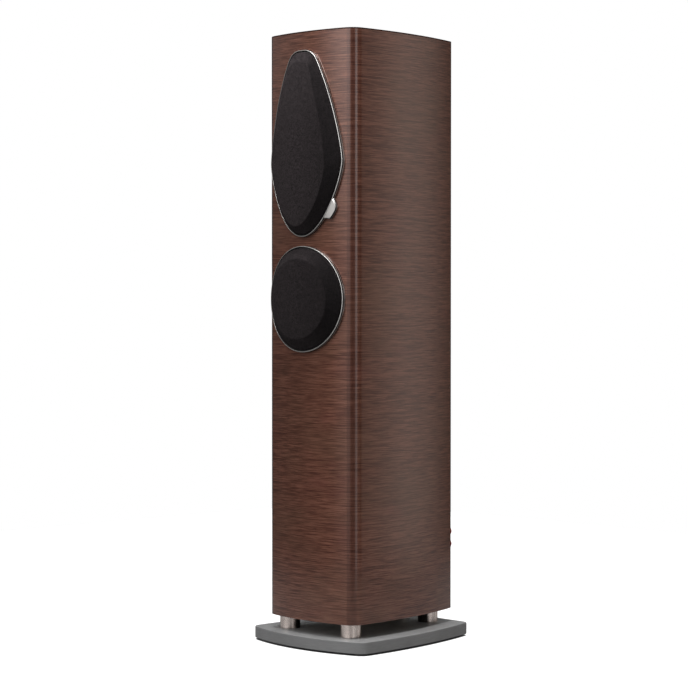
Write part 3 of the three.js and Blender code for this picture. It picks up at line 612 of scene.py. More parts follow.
def trim_material():
    """Metal ring with a bright front lip, a black band behind it and a polished foot."""
    s = Shader("bright_trim")
    lines = s.noise(s.scaled(60, 900, 60), detail=3, roughness=0.7)
    forward = s.remap(s.product(s.normal()[1], -1), 0.55, 0.75)
    x, y, _ = s.axes(s.place)
    half, bow = CABINET.front_width / 2 * MM, CABINET.front_bow * MM
    bowed_back = s.product(x, x, bow / half**2)
    stand = s.math("SUBTRACT", s.math("ADD", bowed_back, SHIFT_Y * MM - bow), y)
    polish = s.remap(stand, 3.8 * MM, 2.2 * MM)
    # The upper part of the wall, between the lip and the polished foot, is coloured black.
    s.set(base_color=s.blend(forward, s.blend(polish, WALL_BLACK, METAL_FOOT), METAL_LIP))
    s.set(metallic=s.math("MAXIMUM", forward, polish))
    s.set(roughness=s.product(s.remap(lines, 0.25, 0.75, 0.28, 0.40), s.remap(polish, 0, 1, 1.0, 0.2)))
    s.bump(lines, 0.05, 0.05)
    return s.material


def metal_material(name, color, roughness, streaks, bump=0.08, unevenness=0.25, shade=None):
    """Brushed metal, dulled a little in patches. streaks gives the texture's scale along x, y and z,
    and shade is the painted shade given to the sides that face the middle of the stand."""
    s = Shader(name)
    lines = s.noise(s.scaled(*streaks), detail=3, roughness=0.7)
    metal = s.varied(s.noise(s.scaled(18), detail=2), color, 0.85, 1)
    # Painted shade: the sides that face the middle of the stand are darkened to the shade colour.
    if shade:
        metal = s.blend(s.remap(s.facing(middle("base_plate") * MM), 0.2, 0.45), metal, shade)
    s.set(base_color=metal, metallic=1.0)
    smoothest, dullest = roughness * (1 - unevenness), roughness * (1 + unevenness)
    s.set(roughness=s.remap(lines, 0.25, 0.75, smoothest, dullest))
    s.bump(lines, bump, 0.05)
    return s.material


def paint_material(name, color, roughness, grain_mm, bump, coat=0.0):
    """Sprayed or moulded surface: a fine pimple texture and slight clouding."""
    s = Shader(name)
    grain = s.noise(s.scaled(1 / (grain_mm * MM)), detail=2)
    cloud = s.noise(s.scaled(14), detail=3)
    s.set(base_color=s.varied(cloud, color, 0.85, 1.15), coat_weight=coat)
    s.set(roughness=s.remap(grain, 0.3, 0.7, roughness * 0.85, min(1, roughness * 1.15)))
    s.bump(grain, bump, grain_mm * 0.15)
    return s.material


# side and top: the paint's shade on the sides and on top, where painted light makes it paler.
PLINTH = Values(tint=(1, 1, 1.005), side=0.155, top=0.21)


def plinth_material():
    """Grey metallic paint with faint brushing along its edges; painted light makes its top paler than its
    sides.
    """
    s = Shader("base_paint")
    grain = s.noise(s.scaled(2200), detail=2)
    brushing = s.noise(s.scaled(60, 60, 1100), detail=2)
    cloud = s.noise(s.scaled(14), detail=3)
    # Painted light: faces that look up take the paler top shade.
    upward = s.remap(s.normal()[2], 0.5, 0.9)
    shade = s.product(
        s.remap(cloud, 0.3, 0.7, 0.93, 1.07),
        s.remap(brushing, 0.3, 0.7, 0.92, 1.08),
        s.remap(upward, 0, 1, PLINTH.side, PLINTH.top),
    )
    s.set(base_color=s.dimmed(PLINTH.tint, shade), coat_weight=0.04)
    s.set(roughness=s.remap(grain, 0.3, 0.7, 0.52, 0.62))
    s.bump(grain, 0.12, 0.06)
    return s.material


def fibre_material(name, color, roughness=0.85, bump=0.3, sheen=0.0):
    """Pulp, felt or board: short fibres lying every way."""
    s = Shader(name)
    fibres = s.noise(s.scaled(420), detail=5, roughness=0.75, distortion=1.5)
    specks = s.noise(s.scaled(90), detail=2)
    s.set(base_color=s.varied(fibres, color, 0.7, 1.35), sheen_weight=sheen)
    s.set(roughness=s.remap(specks, 0.3, 0.7, roughness * 0.9, min(1, roughness * 1.1)))
    s.bump(fibres, bump, 0.15)
    return s.material


def rubber_material():
    """Black rubber with a faint bloom."""
    s = Shader("black_rubber")
    grain = s.noise(s.scaled(1400), detail=2)
    bloom = s.noise(s.scaled(40), detail=4)
    s.set(base_color=s.blend(s.remap(bloom, 0.35, 0.7), (0.012, 0.012, 0.013), (0.026, 0.026, 0.027)))
    s.set(roughness=s.remap(bloom, 0.3, 0.7, 0.5, 0.7))
    s.bump(grain, 0.15, 0.08)
    return s.material


WIRE_PITCH = 1.2 * MM


def winding_material():
    """Enamelled wire laid side by side."""
    s = Shader("copper_coil")
    wire = s.math("SINE", s.product(s.axes(s.place)[1], 2 * pi / WIRE_PITCH))
    s.set(base_color=s.blend(s.remap(wire, -1, 1), (0.30, 0.11, 0.045), (0.68, 0.33, 0.16)))
    s.set(metallic=0.9, roughness=0.32, coat_weight=0.5)
    s.bump(wire, 0.5, 0.3)
    return s.material


# Colour, roughness, grain in millimetres, bump and coat.
PAINTS = {
    "black_panel": ((0.017, 0.016, 0.016), 0.55, 0.9, 0.5),
    "black_plastic": ((0.016, 0.016, 0.017), 0.42, 0.5, 0.25),
    "cast_frame": ((0.055, 0.055, 0.058), 0.5, 0.8, 0.4),
    "ferrite": ((0.05, 0.05, 0.053), 0.75, 0.6, 0.5),
    "red_plastic": ((0.30, 0.012, 0.012), 0.3, 0.5, 0.1, 0.3),
    "circuit_board": ((0.02, 0.10, 0.045), 0.4, 0.8, 0.1, 0.3),
    "film_wrap": ((0.60, 0.42, 0.05), 0.3, 1.5, 0.1, 0.4),
    "cable_jacket": ((0.03, 0.03, 0.03), 0.5, 0.6, 0.2),
}
# Colour, roughness, streaks along x, y and z, bump, unevenness and the painted shade of the sides facing
# the middle of the stand.
METALS = {
    "satin_nickel": ((0.93, 0.81, 0.75), 0.26, (500, 500, 14), 0.008, 0.08, (0.03, 0.026, 0.024)),
    "zinc_steel": ((0.58, 0.58, 0.6), 0.35, (300, 300, 300)),
    "gold_plate": ((0.83, 0.60, 0.26), 0.2, (60, 900, 60), 0.03),
}
# Colour, roughness, bump and sheen.
FIBRES = {
    "bare_board": ((0.36, 0.25, 0.15),),
    "cone_paper": ((0.024, 0.024, 0.026), 0.7, 0.35),
    "damper_cloth": ((0.42, 0.28, 0.10), 0.9, 0.5),
    "dome_silk": ((0.02, 0.02, 0.022), 0.45, 0.15, 0.4),
}
MATERIALS = {
    "veneer": veneer_material(),
    "grille_cloth": cloth_material(),
    "bright_trim": trim_material(),
    "base_paint": plinth_material(),
    "black_rubber": rubber_material(),
    "copper_coil": winding_material(),
    **{name: paint_material(name, *look) for name, look in PAINTS.items()},
    **{name: metal_material(name, *look) for name, look in METALS.items()},
    **{name: fibre_material(name, *look) for name, look in FIBRES.items()},
}

for entry in frame["record"]["subparts"]:
    shown = frame["nodes"][entry["node"]].data.materials
    shown.clear()
    shown.append(MATERIALS[entry["material_slot"]])

# ---- cabinet

DRIVERS = {"woofer": WOOFER_Z, "midbass": MIDBASS_Z}
POCKET, CUTOUT, MOUNT_Y = 76.4, 67.6, -3
TWEETER_POCKET, TWEETER_CUTOUT, TWEETER_Y = 37.4, 25.2, -6
REBATE = 2.3
FIT = 0.3
PAST = 60
TOP_ROUNDING, FOOT_ROUNDING = 1.2, 0.8
SHAPES = {
    "lower": (circle_outline(LOWER_RING_RADIUS, WOOFER_Z), circle_outline(LOWER_FACE_RADIUS, WOOFER_Z)),
    "upper": (shield_outline(UPPER_RIM), shield_outline(UPPER_FACE)),
}


PEG = Values(inset=4.4, radius=1.6, hole=2, front=2, depth=6)
# How far up the right half of the rim the lower and the upper peg sit, as shares of the whole rim.
PEG_SHARES = (5 / 36, 14 / 36)


def peg_rods(rim, radius, back):
    """Four short rods behind a rim: two on each side, below and above its middle."""
    path = inset(rim, PEG.inset)
    places = [path[round(share * len(path))] for share in PEG_SHARES]
    places += [Vector((-p.x, p.y)) for p in places]
    spans = [(baffle_y(p.x) - PEG.front, baffle_y(p.x) + back) for p in places]
    return [rod_about_y(radius, span, p.x, p.y, 32) for p, span in zip(places, spans)]


def bowed_block(outline, low, high):
    """A slab between two heights off the bowed baffle."""
    inner = (0.15, 0.35, 0.55, 0.75, 0.9)
    below = [bowed(shrink(outline, f), low) for f in inner]
    above = [bowed(shrink(outline, f), high) for f in reversed(inner)]
    return skin(below + [bowed(outline, low), bowed(outline, high)] + above)


def baffle_cutters():
    """What the baffle gives up: the ring rebates, the driver pockets and the peg holes."""
    cutters = [bowed_block(inset(rim, -FIT), -REBATE, 4) for rim, _ in SHAPES.values()]
    for z in DRIVERS.values():
        cutters.append(rod_about_y(POCKET, (-PAST, MOUNT_Y), 0, z))
        cutters.append(rod_about_y(CUTOUT, (-PAST, PAST), 0, z))
    cutters.append(rod_about_y(TWEETER_POCKET, (-PAST, TWEETER_Y), 0, TWEETER_Z))
    cutters.append(rod_about_y(TWEETER_CUTOUT, (-PAST, PAST), 0, TWEETER_Z))
    for rim, _ in SHAPES.values():
        cutters += peg_rods(rim, PEG.hole, PEG.depth)
    return cutters


def back_cutter():
    low, high = box_mm("back_panel")
    half = high.x + FIT
    return block((-half, half), (local_y(low.y) - 5, CABINET.rear_y + PAST), (low.z - 5, high.z + FIT))


def cabinet_skin():
    """Baffle, sides and top under one wrap of veneer, open at the back and below."""
    outer = plan_outline(CABINET)
    inner = plan_outline(CABINET, **WALL)
    rings = [level(inner, TOP - SHELF), level(inner, BOTTOM)] + rounded([
        (level(inner, BOTTOM), 0),
        (level(outer, BOTTOM), FOOT_ROUNDING),
        (level(outer, TOP), TOP_ROUNDING),
        (level(shrink(outer, 0.5), TOP), 0),
    ])[1:]
    shell = combine(skin(rings), [back_cutter()] + baffle_cutters())
    return piece("cabinet_skin", shell, "veneer", stands_for=(
        "front_baffle", "left_side_panel", "right_side_panel", "top_panel"))


cabinet_skin()

# ---- trim rings and grilles

TRIM = Values(wall=1.5, stand=6, flange=7.2, thickness=1.6, rebate=2)
CAP = Values(foot_inset=2.1, foot_height=2.6, cloth_inset=3.6, inner_inset=7.3, bevel_start=7,
           face_stand=19.4, cloth=2, cloth_edge=5, web=2, roll_from=840, roll_radius=757)


def trim_ring(rim):
    """An angle section: a wall that stands off the baffle and a flange inside it."""
    foot = -TRIM.rebate
    lip = TRIM.stand
    wall = inset(rim, TRIM.wall)
    flange = inset(rim, TRIM.flange)
    return solid([
        (bowed(rim, foot), 0),
        (bowed(rim, lip), 0.7),
        (bowed(wall, lip), 0.3),
        (bowed(wall, foot + TRIM.thickness), 0.4),
        (bowed(flange, foot + TRIM.thickness), 0.3),
        (bowed(flange, foot), 0),
    ], closed=True, steps=3)


def cap_stand(offset):
    """The height of the cap's front face off the baffle, less an offset. It bends back near the top."""

    def stand(z):
        above = max(0, z - CAP.roll_from)
        return CAP.face_stand - offset - above**2 / (2 * CAP.roll_radius)

    return stand


def grille_cloth(rim, face):
    """A taut cover with a bevel round a front face that follows the baffle."""
    edge = inset(rim, CAP.cloth_inset)
    inner_edge = inset(edge, CAP.cloth)
    inner_face = inset(face, CAP.cloth * 0.3)
    low = CAP.cloth_edge
    outer, inner = cap_stand(0), cap_stand(CAP.cloth)
    sizes = (0.1, 0.3, 0.5, 0.7, 0.85, 0.95)
    front = [(bowed(shrink(face, size), outer), 0) for size in sizes]
    back = [(bowed(shrink(inner_face, size), inner), 0) for size in reversed(sizes)]
    return solid(front + [
        (bowed(face, outer), 1.2),
        (bowed(edge, CAP.bevel_start), 0.8),
        (bowed(edge, low), 0),
        (bowed(inner_edge, low), 0),
        (bowed(inner_edge, low + 1), 0),
        (bowed(inner_face, inner), 0.8),
    ] + back)


def grille_frame(rim, face):
    """The rigid rim under the cloth, stepped in from its foot and open in the middle."""
    gap = FIT
    foot, edge = inset(rim, CAP.foot_inset), inset(rim, CAP.cloth_inset)
    behind_cloth, inside = inset(edge, CAP.cloth + gap), inset(rim, CAP.inner_inset)
    under, low = CAP.cloth + gap, CAP.cloth_edge - gap
    return solid([
        (bowed(foot, gap), 0.3),
        (bowed(foot, CAP.foot_height), 0.5),
        (bowed(edge, CAP.foot_height), 0.2),
        (bowed(edge, low), 0),
        (bowed(behind_cloth, low), 0),
        (bowed(behind_cloth, low + 1), 0),
        (bowed(inset(face, 1), cap_stand(under)), 0.5),
        (bowed(inset(face, 4), cap_stand(under)), 0.5),
        (bowed(inset(face, 4), cap_stand(under + CAP.web)), 0.5),
        (bowed(inside, CAP.cloth_edge - 1), 0.8),
        (bowed(inside, gap), 0.3),
    ], closed=True, steps=3)


def crossing(path, z):
    """The point where the right half of an outline, listed upwards, crosses a height."""
    for a, b in zip(path, path[1:]):
        if a.y <= z < b.y:
            return a.lerp(b, (z - a.y) / (b.y - a.y))


TAB = Values(top=725, bottom=693, tip=(75.8, 711.5), toe=(60.8, 691.5), chamfer=1.2, crown=0.88, stand=5.8)


def trim_tab(rim):
    """The blank ear on the shield's lower right edge, with a chamfered rim."""
    wall = inset(rim, TRIM.wall / 2)
    low, high = crossing(wall, TAB.bottom), crossing(wall, TAB.top)
    between = [p for p in wall if p.x > 0 and low.y + 1 < p.y < high.y - 1]
    toe, tip = Vector(TAB.toe), Vector(TAB.tip)
    heel, side = low.lerp(toe, 0.85), toe.lerp(tip, 0.55)

    def curve(a, control, b):
        return bezier(a, a.lerp(control, 2 / 3), b.lerp(control, 2 / 3), b, 14)

    edge = curve(low, low.lerp(heel, 0.5), heel) + curve(heel, toe, toe.lerp(side, 0.3))
    edge += curve(toe.lerp(side, 0.3), toe.lerp(side, 0.65), side) + curve(side, tip, high) + [high]
    outline = edge + between[::-1]
    return solid([
        (bowed(outline, 0.3), 0),
        (bowed(outline, TAB.stand - TAB.chamfer), 0.3),
        (bowed(shrink(outline, TAB.crown), TAB.stand), 0.3),
        (bowed(shrink(outline, 0.3), TAB.stand), 0),
    ])


def grille_and_ring(which, rim, face):
    ring = combine(trim_ring(rim), peg_rods(rim, PEG.hole, PEG.depth))
    if which == "upper":
        combine(ring, [trim_tab(rim)], "UNION")
    pegs = peg_rods(rim, PEG.radius, PEG.depth - 1)
    pegged = combine(grille_frame(rim, face), pegs, "UNION")
    grille = f"{which}_grille"
    piece(f"{which}_trim", ring, "bright_trim", stands_for=[f"{which}_trim_ring"])
    piece(f"{which}_cloth", grille_cloth(rim, face), "grille_cloth", grille, [f"{grille}_cloth"])
    piece(f"{which}_frame", pegged, "black_plastic", grille, [f"{grille}_frame"])


for which, (rim, face) in SHAPES.items():
    grille_and_ring(which, rim, face)

# ---- stand

CORNERS = ("front_left", "front_right", "rear_left", "rear_right")
BOLT_HOLE, BOLT_RECESS, RECESS_DEPTH = 4.3, 8.5, 6


def centre_and_radius(node):
    """Where an upright turned node stands, its radius, and the heights of its two ends."""
    low, high = box_mm(node)
    place = (low.x + high.x) / 2, local_y((low.y + high.y) / 2)
    return place, (high.x - low.x) / 2, low.z, high.z


def base_plate():
    """The plate, with a counterbored hole under each pillar."""
    outline = plan_outline(PLATE)
    low, high = box_mm("base_plate")
    centre = shrink(outline, 0.5)
    plate = solid([
        (level(centre, low.z), 0),
        (level(outline, low.z), 1.2),
        (level(outline, high.z), 1.6),
        (level(centre, high.z), 0),
    ])
    cutters = []
    for corner in CORNERS:
        (x, y), _, _, _ = centre_and_radius(f"pillar_{corner}")
        cutters.append(rod_about_z(BOLT_RECESS, (low.z - 1, low.z + RECESS_DEPTH), x, y))
        cutters.append(rod_about_z(BOLT_HOLE, (low.z - 1, high.z + 1), x, y))
    return piece("plinth", combine(plate, cutters), "base_paint", stands_for=["base_plate"])


def pillar(corner):
    place, radius, low, high = centre_and_radius(f"pillar_{corner}")
    turned(f"pillar_{corner}_turned", [
        (BOLT_HOLE, low, 0.2), (radius, low, 0.5), (radius, high, 0.5), (BOLT_HOLE, high, 0.2),
    ], place, "satin_nickel", axis="z", closed=True, stands_for=[f"pillar_{corner}"])


BOLT = Values(bore=1, head_height=5, clearance=0.4, socket=3.2, socket_depth=3)


def pillar_bolt(corner):
    """Socket-headed bolt whose head hides in the plate's underside."""
    place, head, low, high = centre_and_radius(f"pillar_bolt_{corner}")
    shank = BOLT_HOLE - BOLT.clearance
    shoulder = low + BOLT.head_height
    blank = lathed([
        (BOLT.bore, low, 0), (head, low, 0.8), (head, shoulder, 0.3),
        (shank, shoulder, 0.2), (shank, high, 0.8), (BOLT.bore, high, 0),
    ], place, "z", count=48)
    socket = rod_about_z(BOLT.socket, (low - 1, low + BOLT.socket_depth), *place, count=6)
    piece(f"bolt_{corner}", combine(blank, [socket]), "zinc_steel", stands_for=[f"pillar_bolt_{corner}"])


def foot(corner):
    """A rubber pad that stands on the outer part of its underside."""
    place, radius, low, high = centre_and_radius(f"foot_pad_{corner}")
    turned(f"foot_{corner}", [
        (0, low + 0.6, 0), (radius - 5, low + 0.6, 0.3), (radius - 4, low, 0.3),
        (radius, low, 0.8), (radius, high, 0.2), (0, high, 0),
    ], place, "black_rubber", axis="z", stands_for=[f"foot_pad_{corner}"])


base_plate()
for corner in CORNERS:
    pillar(corner)
    pillar_bolt(corner)
    foot(corner)

# ---- cone drivers

BASKET_SECTION = (
    (76, 0, 0.2), (67, 0, 0.2), (66.6, 4, 0.3), (47, 50, 1), (47, 51.7, 0.2), (20.6, 51.7, 0.2),
    (20.6, 49.7, 0.2), (45, 49.7, 1), (64.5, 3.2, 0.5), (64.5, -1.2, 0.2), (68, -1.2, 0.1),
    (68, -4.2, 0.5), (69, -5, 0.2), (76, -5, 0.9),
)
RIM_FRONT = 5
WINDOW = Values(pairs=3, depth=28, half_depth=16, half_width=13, reach=80)
SCREW = Values(circle=72.2, radius=2.3, count=6, proud=0.7, bore=0.6, socket=1.3, socket_floor=0.2)
CONE = Values(rim=53.2, neck=19.5, front=-0.8, depth=26.8, swell=1.4, thickness=1.1, steps=14)
# Radius of the edge, depth of the apex and depth of the edge.
DUST_CAP = Values(front=(22.4, 14.5, 23.2), back=(21.4, 15.3, 23.5))
ROLL = Values(centre=58.3, base=-1.5, outer=4.3, inner=3.5, landing=67.7, thickness=0.8, start=0.19)


def arc_profile(radius, apex, edge, steps=12):
    """(radius, depth, rounding) points of a shallow dome from its axis out to its edge."""
    rise = edge - apex
    sphere = bow_radius(radius, abs(rise))
    sweep = asin(radius / sphere)
    sign = copysign(1, rise)
    angles = [sweep * share for share in shares(steps)]
    return [(sphere * sin(a), apex + sign * sphere * (1 - cos(a)), 0) for a in angles]


def driver_turned(prefix, part, profile, slot, body, node, closed=True):
    """A turned piece of a cone driver. Its depths count from the mounting face."""
    centre = middle(f"{prefix}_basket")
    placed = [(r, MOUNT_Y + h, fillet) for r, h, fillet in profile]
    return turned(f"{prefix}_{part}", placed, (centre.x, centre.z), slot, closed=closed, body=body,
                  stands_for=[f"{prefix}_{node}"])


def window_pair(z, turn):
    """A bar across the whole basket, which cuts two windows that face each other."""
    along = Vector((cos(turn), 0, -sin(turn)))
    across = Vector((sin(turn), 0, cos(turn)))
    w, d = WINDOW.half_width, WINDOW.half_depth
    return skin([
        [
            Vector((0, MOUNT_Y + WINDOW.depth + depth, z)) + along * reach + across * width
            for width, depth in ((-w, -d), (w, -d), (w, d), (-w, d))
        ]
        for reach in (-WINDOW.reach, WINDOW.reach)
    ])


def basket(prefix, z):
    """Cast frame with a raised rim and six windows."""
    section = [(r, MOUNT_Y + h, fillet) for r, h, fillet in BASKET_SECTION]
    casting = lathed(section, (0, z), closed=True, steps=3)
    windows = [window_pair(z, pi * k / WINDOW.pairs) for k in range(WINDOW.pairs)]
    piece(f"{prefix}_frame_casting", combine(casting, windows), "cast_frame",
          stands_for=[f"{prefix}_basket"])


def rim_screw(prefix, z, number):
    """A socket-headed screw on the front of the basket's rim."""
    turn = 2 * pi * (number - 0.5) / SCREW.count
    x, up = SCREW.circle * sin(turn), z + SCREW.circle * cos(turn)
    rim = MOUNT_Y - RIM_FRONT
    seat, top = rim + 0.1, rim - SCREW.proud
    blank = lathed([
        (SCREW.bore, seat, 0), (SCREW.radius, seat, 0),
        (SCREW.radius, top, 0.4), (SCREW.bore, top, 0),
    ], (x, up), count=20, steps=2)
    corners = [
        Vector((x + SCREW.socket * cos(a), 0, up + SCREW.socket * sin(a))) for a in turns(6)
    ]
    depths = (top - 0.5, rim - SCREW.socket_floor)
    socket = skin([[p + Vector((0, y, 0)) for p in corners] for y in depths])
    piece(f"{prefix}_screw_{number}", combine(blank, [socket]), "zinc_steel")


def cone(prefix, body):
    """Paper cone with a slightly swelling wall."""
    front = []
    for share in shares(CONE.steps):
        radius = CONE.rim + (CONE.neck - CONE.rim) * share
        depth = CONE.front + CONE.depth * share + CONE.swell * sin(pi * share)
        front.append((radius, depth, 0))
    back = [(radius, depth + CONE.thickness, 0) for radius, depth, _ in reversed(front)]
    driver_turned(prefix, "paper_cone", front + back, "cone_paper", body, "cone")


def dust_cap(prefix, body):
    profile = arc_profile(*DUST_CAP.front) + arc_profile(*DUST_CAP.back)[::-1]
    driver_turned(prefix, "cap", profile, "cone_paper", body, "dust_cap", closed=False)


def surround(prefix):
    """Half-roll rubber edge on a flat landing."""
    centre, base = ROLL.centre, ROLL.base

    def roll(radius, start, end, steps=16):
        angles = (start + (end - start) * share for share in shares(steps))
        return [(centre + radius * cos(a), base - radius * sin(a), 0) for a in angles]

    landing = [(ROLL.landing, base, 0.2), (ROLL.landing, base - ROLL.thickness, 0.2)]
    profile = landing + roll(ROLL.outer, ROLL.start, pi) + roll(ROLL.inner, pi, 0)
    driver_turned(prefix, "roll", profile, "black_rubber", "cabinet", "surround")


for prefix, z in DRIVERS.items():
    basket(prefix, z)
    for number in range(1, SCREW.count + 1):
        rim_screw(prefix, z, number)
    cone(prefix, f"{prefix}_moving_parts")
    dust_cap(prefix, f"{prefix}_moving_parts")
    surround(prefix)

# ---- tweeter

DOME = Values(front=(12.5, -13, -8.4), back=(11.8, -12.3, -8.1), skirt=-4.6)
HORN = Values(radius=37, thickness=4, mouth=30, throat=14.2, sink=2.6, steps=10)


def horn_plate(place):
    """The faceplate, with a shallow horn that narrows towards the dome."""
    front = TWEETER_Y - HORN.thickness
    horn = []
    for share in shares(HORN.steps):
        radius = HORN.mouth + (HORN.throat - HORN.mouth) * share
        horn.append((radius, front + HORN.sink * (1 - cos(share * pi / 2)), 0))
    rim = [(HORN.radius, TWEETER_Y, 0.2), (HORN.radius, front, 0.8)]
    bore = [(13.8, TWEETER_Y - 1.0, 0), (16, TWEETER_Y, 0.2)]
    turned("tweeter_horn_plate", rim + horn + bore, place, "black_plastic", closed=True,
           stands_for=["tweeter_faceplate"])


def silk_dome(place):
    """A thin dome on a short cylindrical skirt."""
    front, back = arc_profile(*DOME.front), arc_profile(*DOME.back)[::-1]
    skirt = [(DOME.front[0], DOME.skirt, 0), (DOME.back[0], DOME.skirt, 0)]
    turned("tweeter_silk_dome", front + skirt + back, place, "dome_silk", body="tweeter_diaphragm",
           stands_for=["tweeter_dome"])


horn_plate((0, TWEETER_Z))
silk_dome((0, TWEETER_Z))

# ---- back: port, terminals

PORT = Values(bore=25, tube=28, flange=38, flare=7.5, flare_depth=13, steps=10)
BACK_FACE = CABINET.rear_y + 0.1
TERMINAL = Values(half_width=33, half_height=39, thickness=4, corner=6, rim=3, dish=1.2, boss_rim=1.2)
POST = Values(tail=3.5, stem=3.9, bore=0.8, play=0.4, collar=8, collar_height=3, wire_hole=1.6,
            wire_place=4.5)
KNOB = Values(radius=8, neck=7.3, nose=6.6, bore=4.3, blind=4, dimple=0.8, flutes=12, flute_depth=0.55,
            points=144)


def port():
    """A tube whose mouth flares into a flange on the back."""
    low, high = box_mm("port_tube")
    lip, deep = local_y(high.y), local_y(low.y)
    flare = []
    for angle in (share * pi / 2 for share in shares(PORT.steps)):
        radius = PORT.bore + PORT.flare * (1 - cos(angle))
        flare.append((radius, lip - PORT.flare_depth * (1 - sin(angle)), 0))
    flange = [(PORT.flange, lip, 1.2), (PORT.flange, BACK_FACE, 0.1)]
    tube = [(PORT.tube, BACK_FACE, 0.1), (PORT.tube, deep, 0.5)]
    turned("port_flare", [(PORT.bore, deep, 0.5)] + flare + flange + tube, (0, (low.z + high.z) / 2),
           "black_plastic", closed=True, stands_for=["port_tube"])


def rounded_rectangle(half_width, half_height, corner, centre_z, steps=10):
    w, h = half_width - corner, half_height - corner
    points = []
    for quarter, (x, z) in enumerate(((w, -h), (w, h), (-w, h), (-w, -h))):
        angles = ((quarter - 1 + share) * pi / 2 for share in shares(steps))
        points += [
            Vector((x + corner * cos(a), centre_z + z + corner * sin(a))) for a in angles
        ]
    return points


def upright(outline, y):
    return [Vector((p.x, y, p.y)) for p in outline]


def post_place(name):
    centre = middle(f"binding_post_{name}")
    return centre.x, centre.z


POSTS = ("upper_left", "upper_right", "lower_left", "lower_right")


def dished_plate(outline, front):
    """A plate whose middle sinks a little inside a raised rim."""
    dish = front - TERMINAL.dish
    inner = inset(outline, TERMINAL.rim)
    dish_edge = inset(outline, TERMINAL.rim + TERMINAL.dish)
    return solid([
        (upright(shrink(outline, 0.3), BACK_FACE), 0),
        (upright(outline, BACK_FACE), 0.1),
        (upright(outline, front), 1.0),
        (upright(inner, front), 0.5),
        (upright(dish_edge, dish), 0.5),
        (upright(shrink(dish_edge, 0.3), dish), 0),
    ])


def terminal_plate():
    """The dished plate, with a boss and a hole for each post."""
    size = TERMINAL.half_width, TERMINAL.half_height, TERMINAL.corner
    front = BACK_FACE + TERMINAL.thickness
    plate = dished_plate(rounded_rectangle(*size, middle("terminal_plate").z), front)
    bosses, holes = [], []
    for x, z in map(post_place, POSTS):
        seat = front - TERMINAL.dish - 1
        bosses.append(rod_about_y(POST.collar + TERMINAL.boss_rim, (seat, front), x, z, 48))
        holes.append(rod_about_y(POST.tail + POST.play, (BACK_FACE - 2, front + 2), x, z, 32))
    plate = combine(combine(plate, bosses, "UNION"), holes)
    piece("terminal_dish", plate, "black_plastic", stands_for=["terminal_plate"])


def binding_post(name):
    """Collar, threaded stem and tail, with a cross hole for bare wire."""
    x, z = post_place(name)
    low, high = box_mm(f"binding_post_{name}")
    tail, end = local_y(low.y), local_y(high.y)
    collar = BACK_FACE + TERMINAL.thickness + 0.1
    top = collar + POST.collar_height
    blank = lathed([
        (POST.bore, tail, 0), (POST.tail, tail, 0.6), (POST.tail, collar, 0),
        (POST.collar, collar, 0.3), (POST.collar, top - 1, 0.3), (POST.collar - 1.5, top, 0.4),
        (POST.stem, top, 0.3), (POST.stem, end, 0.6), (POST.bore, end, 0),
    ], (x, z), count=64, steps=3)
    hole = rod_about_z(POST.wire_hole, (z - 10, z + 10), x, top + POST.wire_place, 24)
    piece(f"post_{name}", combine(blank, [hole]), "gold_plate", stands_for=[f"binding_post_{name}"])


def fluted(y, x, z):
    """The grip's outline: a circle with a shallow scallop at each flute."""
    ring = []
    for a in turns(KNOB.points):
        scallop = (0.5 + 0.5 * cos(KNOB.flutes * a)) ** 2
        r = KNOB.radius - KNOB.flute_depth * scallop
        ring.append(Vector((x + r * sin(a), y, z - r * cos(a))))
    return ring


def binding_knob(name):
    """A grip with a plain neck, a fluted body and a blind bore. The right pair is red."""
    x, z = post_place(name)
    low, high = box_mm(f"binding_knob_{name}")
    near, far = local_y(low.y), local_y(high.y)

    def plain(radius, y):
        return ring_about_y(radius, y, x, z, KNOB.points)

    grip = solid([
        (plain(KNOB.bore, far - KNOB.blind), 0.1),
        (plain(KNOB.bore, near), 0.3),
        (plain(KNOB.neck, near), 0.3),
        (plain(KNOB.neck, near + 3), 0.2),
        (fluted(near + 3.6, x, z), 0.3),
        (fluted(far - 1.6, x, z), 0.3),
        (plain(KNOB.nose, far), 0.4),
        (plain(KNOB.bore + 0.2, far), 0.2),
        (plain(KNOB.bore - 0.3, far - KNOB.dimple), 0.2),
    ])
    slot = "red_plastic" if name.endswith("right") else "black_plastic"
    piece(f"knob_{name}_grip", grip, slot, f"knob_{name}", [f"binding_knob_{name}"])


port()
terminal_plate()
for name in POSTS:
    binding_post(name)
    binding_knob(name)

# ---- stage, light and camera

# Soft boxes by bearing and height in degrees: where each starts and ends sideways, how soft its
# sides are, its strength, its lower end and how soft that is. Bearing 0 is in front, 90 to the right.
SOFT_BOXES = (
    (-24, 26, 6, 0.45, -8, 12),
    (-28, 26, 8, 0.45, 1.5, 2),
    (-34, 26, 10, 1.3, 5, 3),
    (-90, -40, 12, 0.3, 5, 5),
    (68, 86, 4, 0.8, -40, 10),
    (68, 86, 4, 0.9, 0, 3),
    (136, 162, 15, 0.76, -12, 12),
)
BOX_TOP = (60, 40)
DARK_ROOM = 0.05
WARM = (1, 0.93, 0.86)
WHITE = (1, 1, 1)


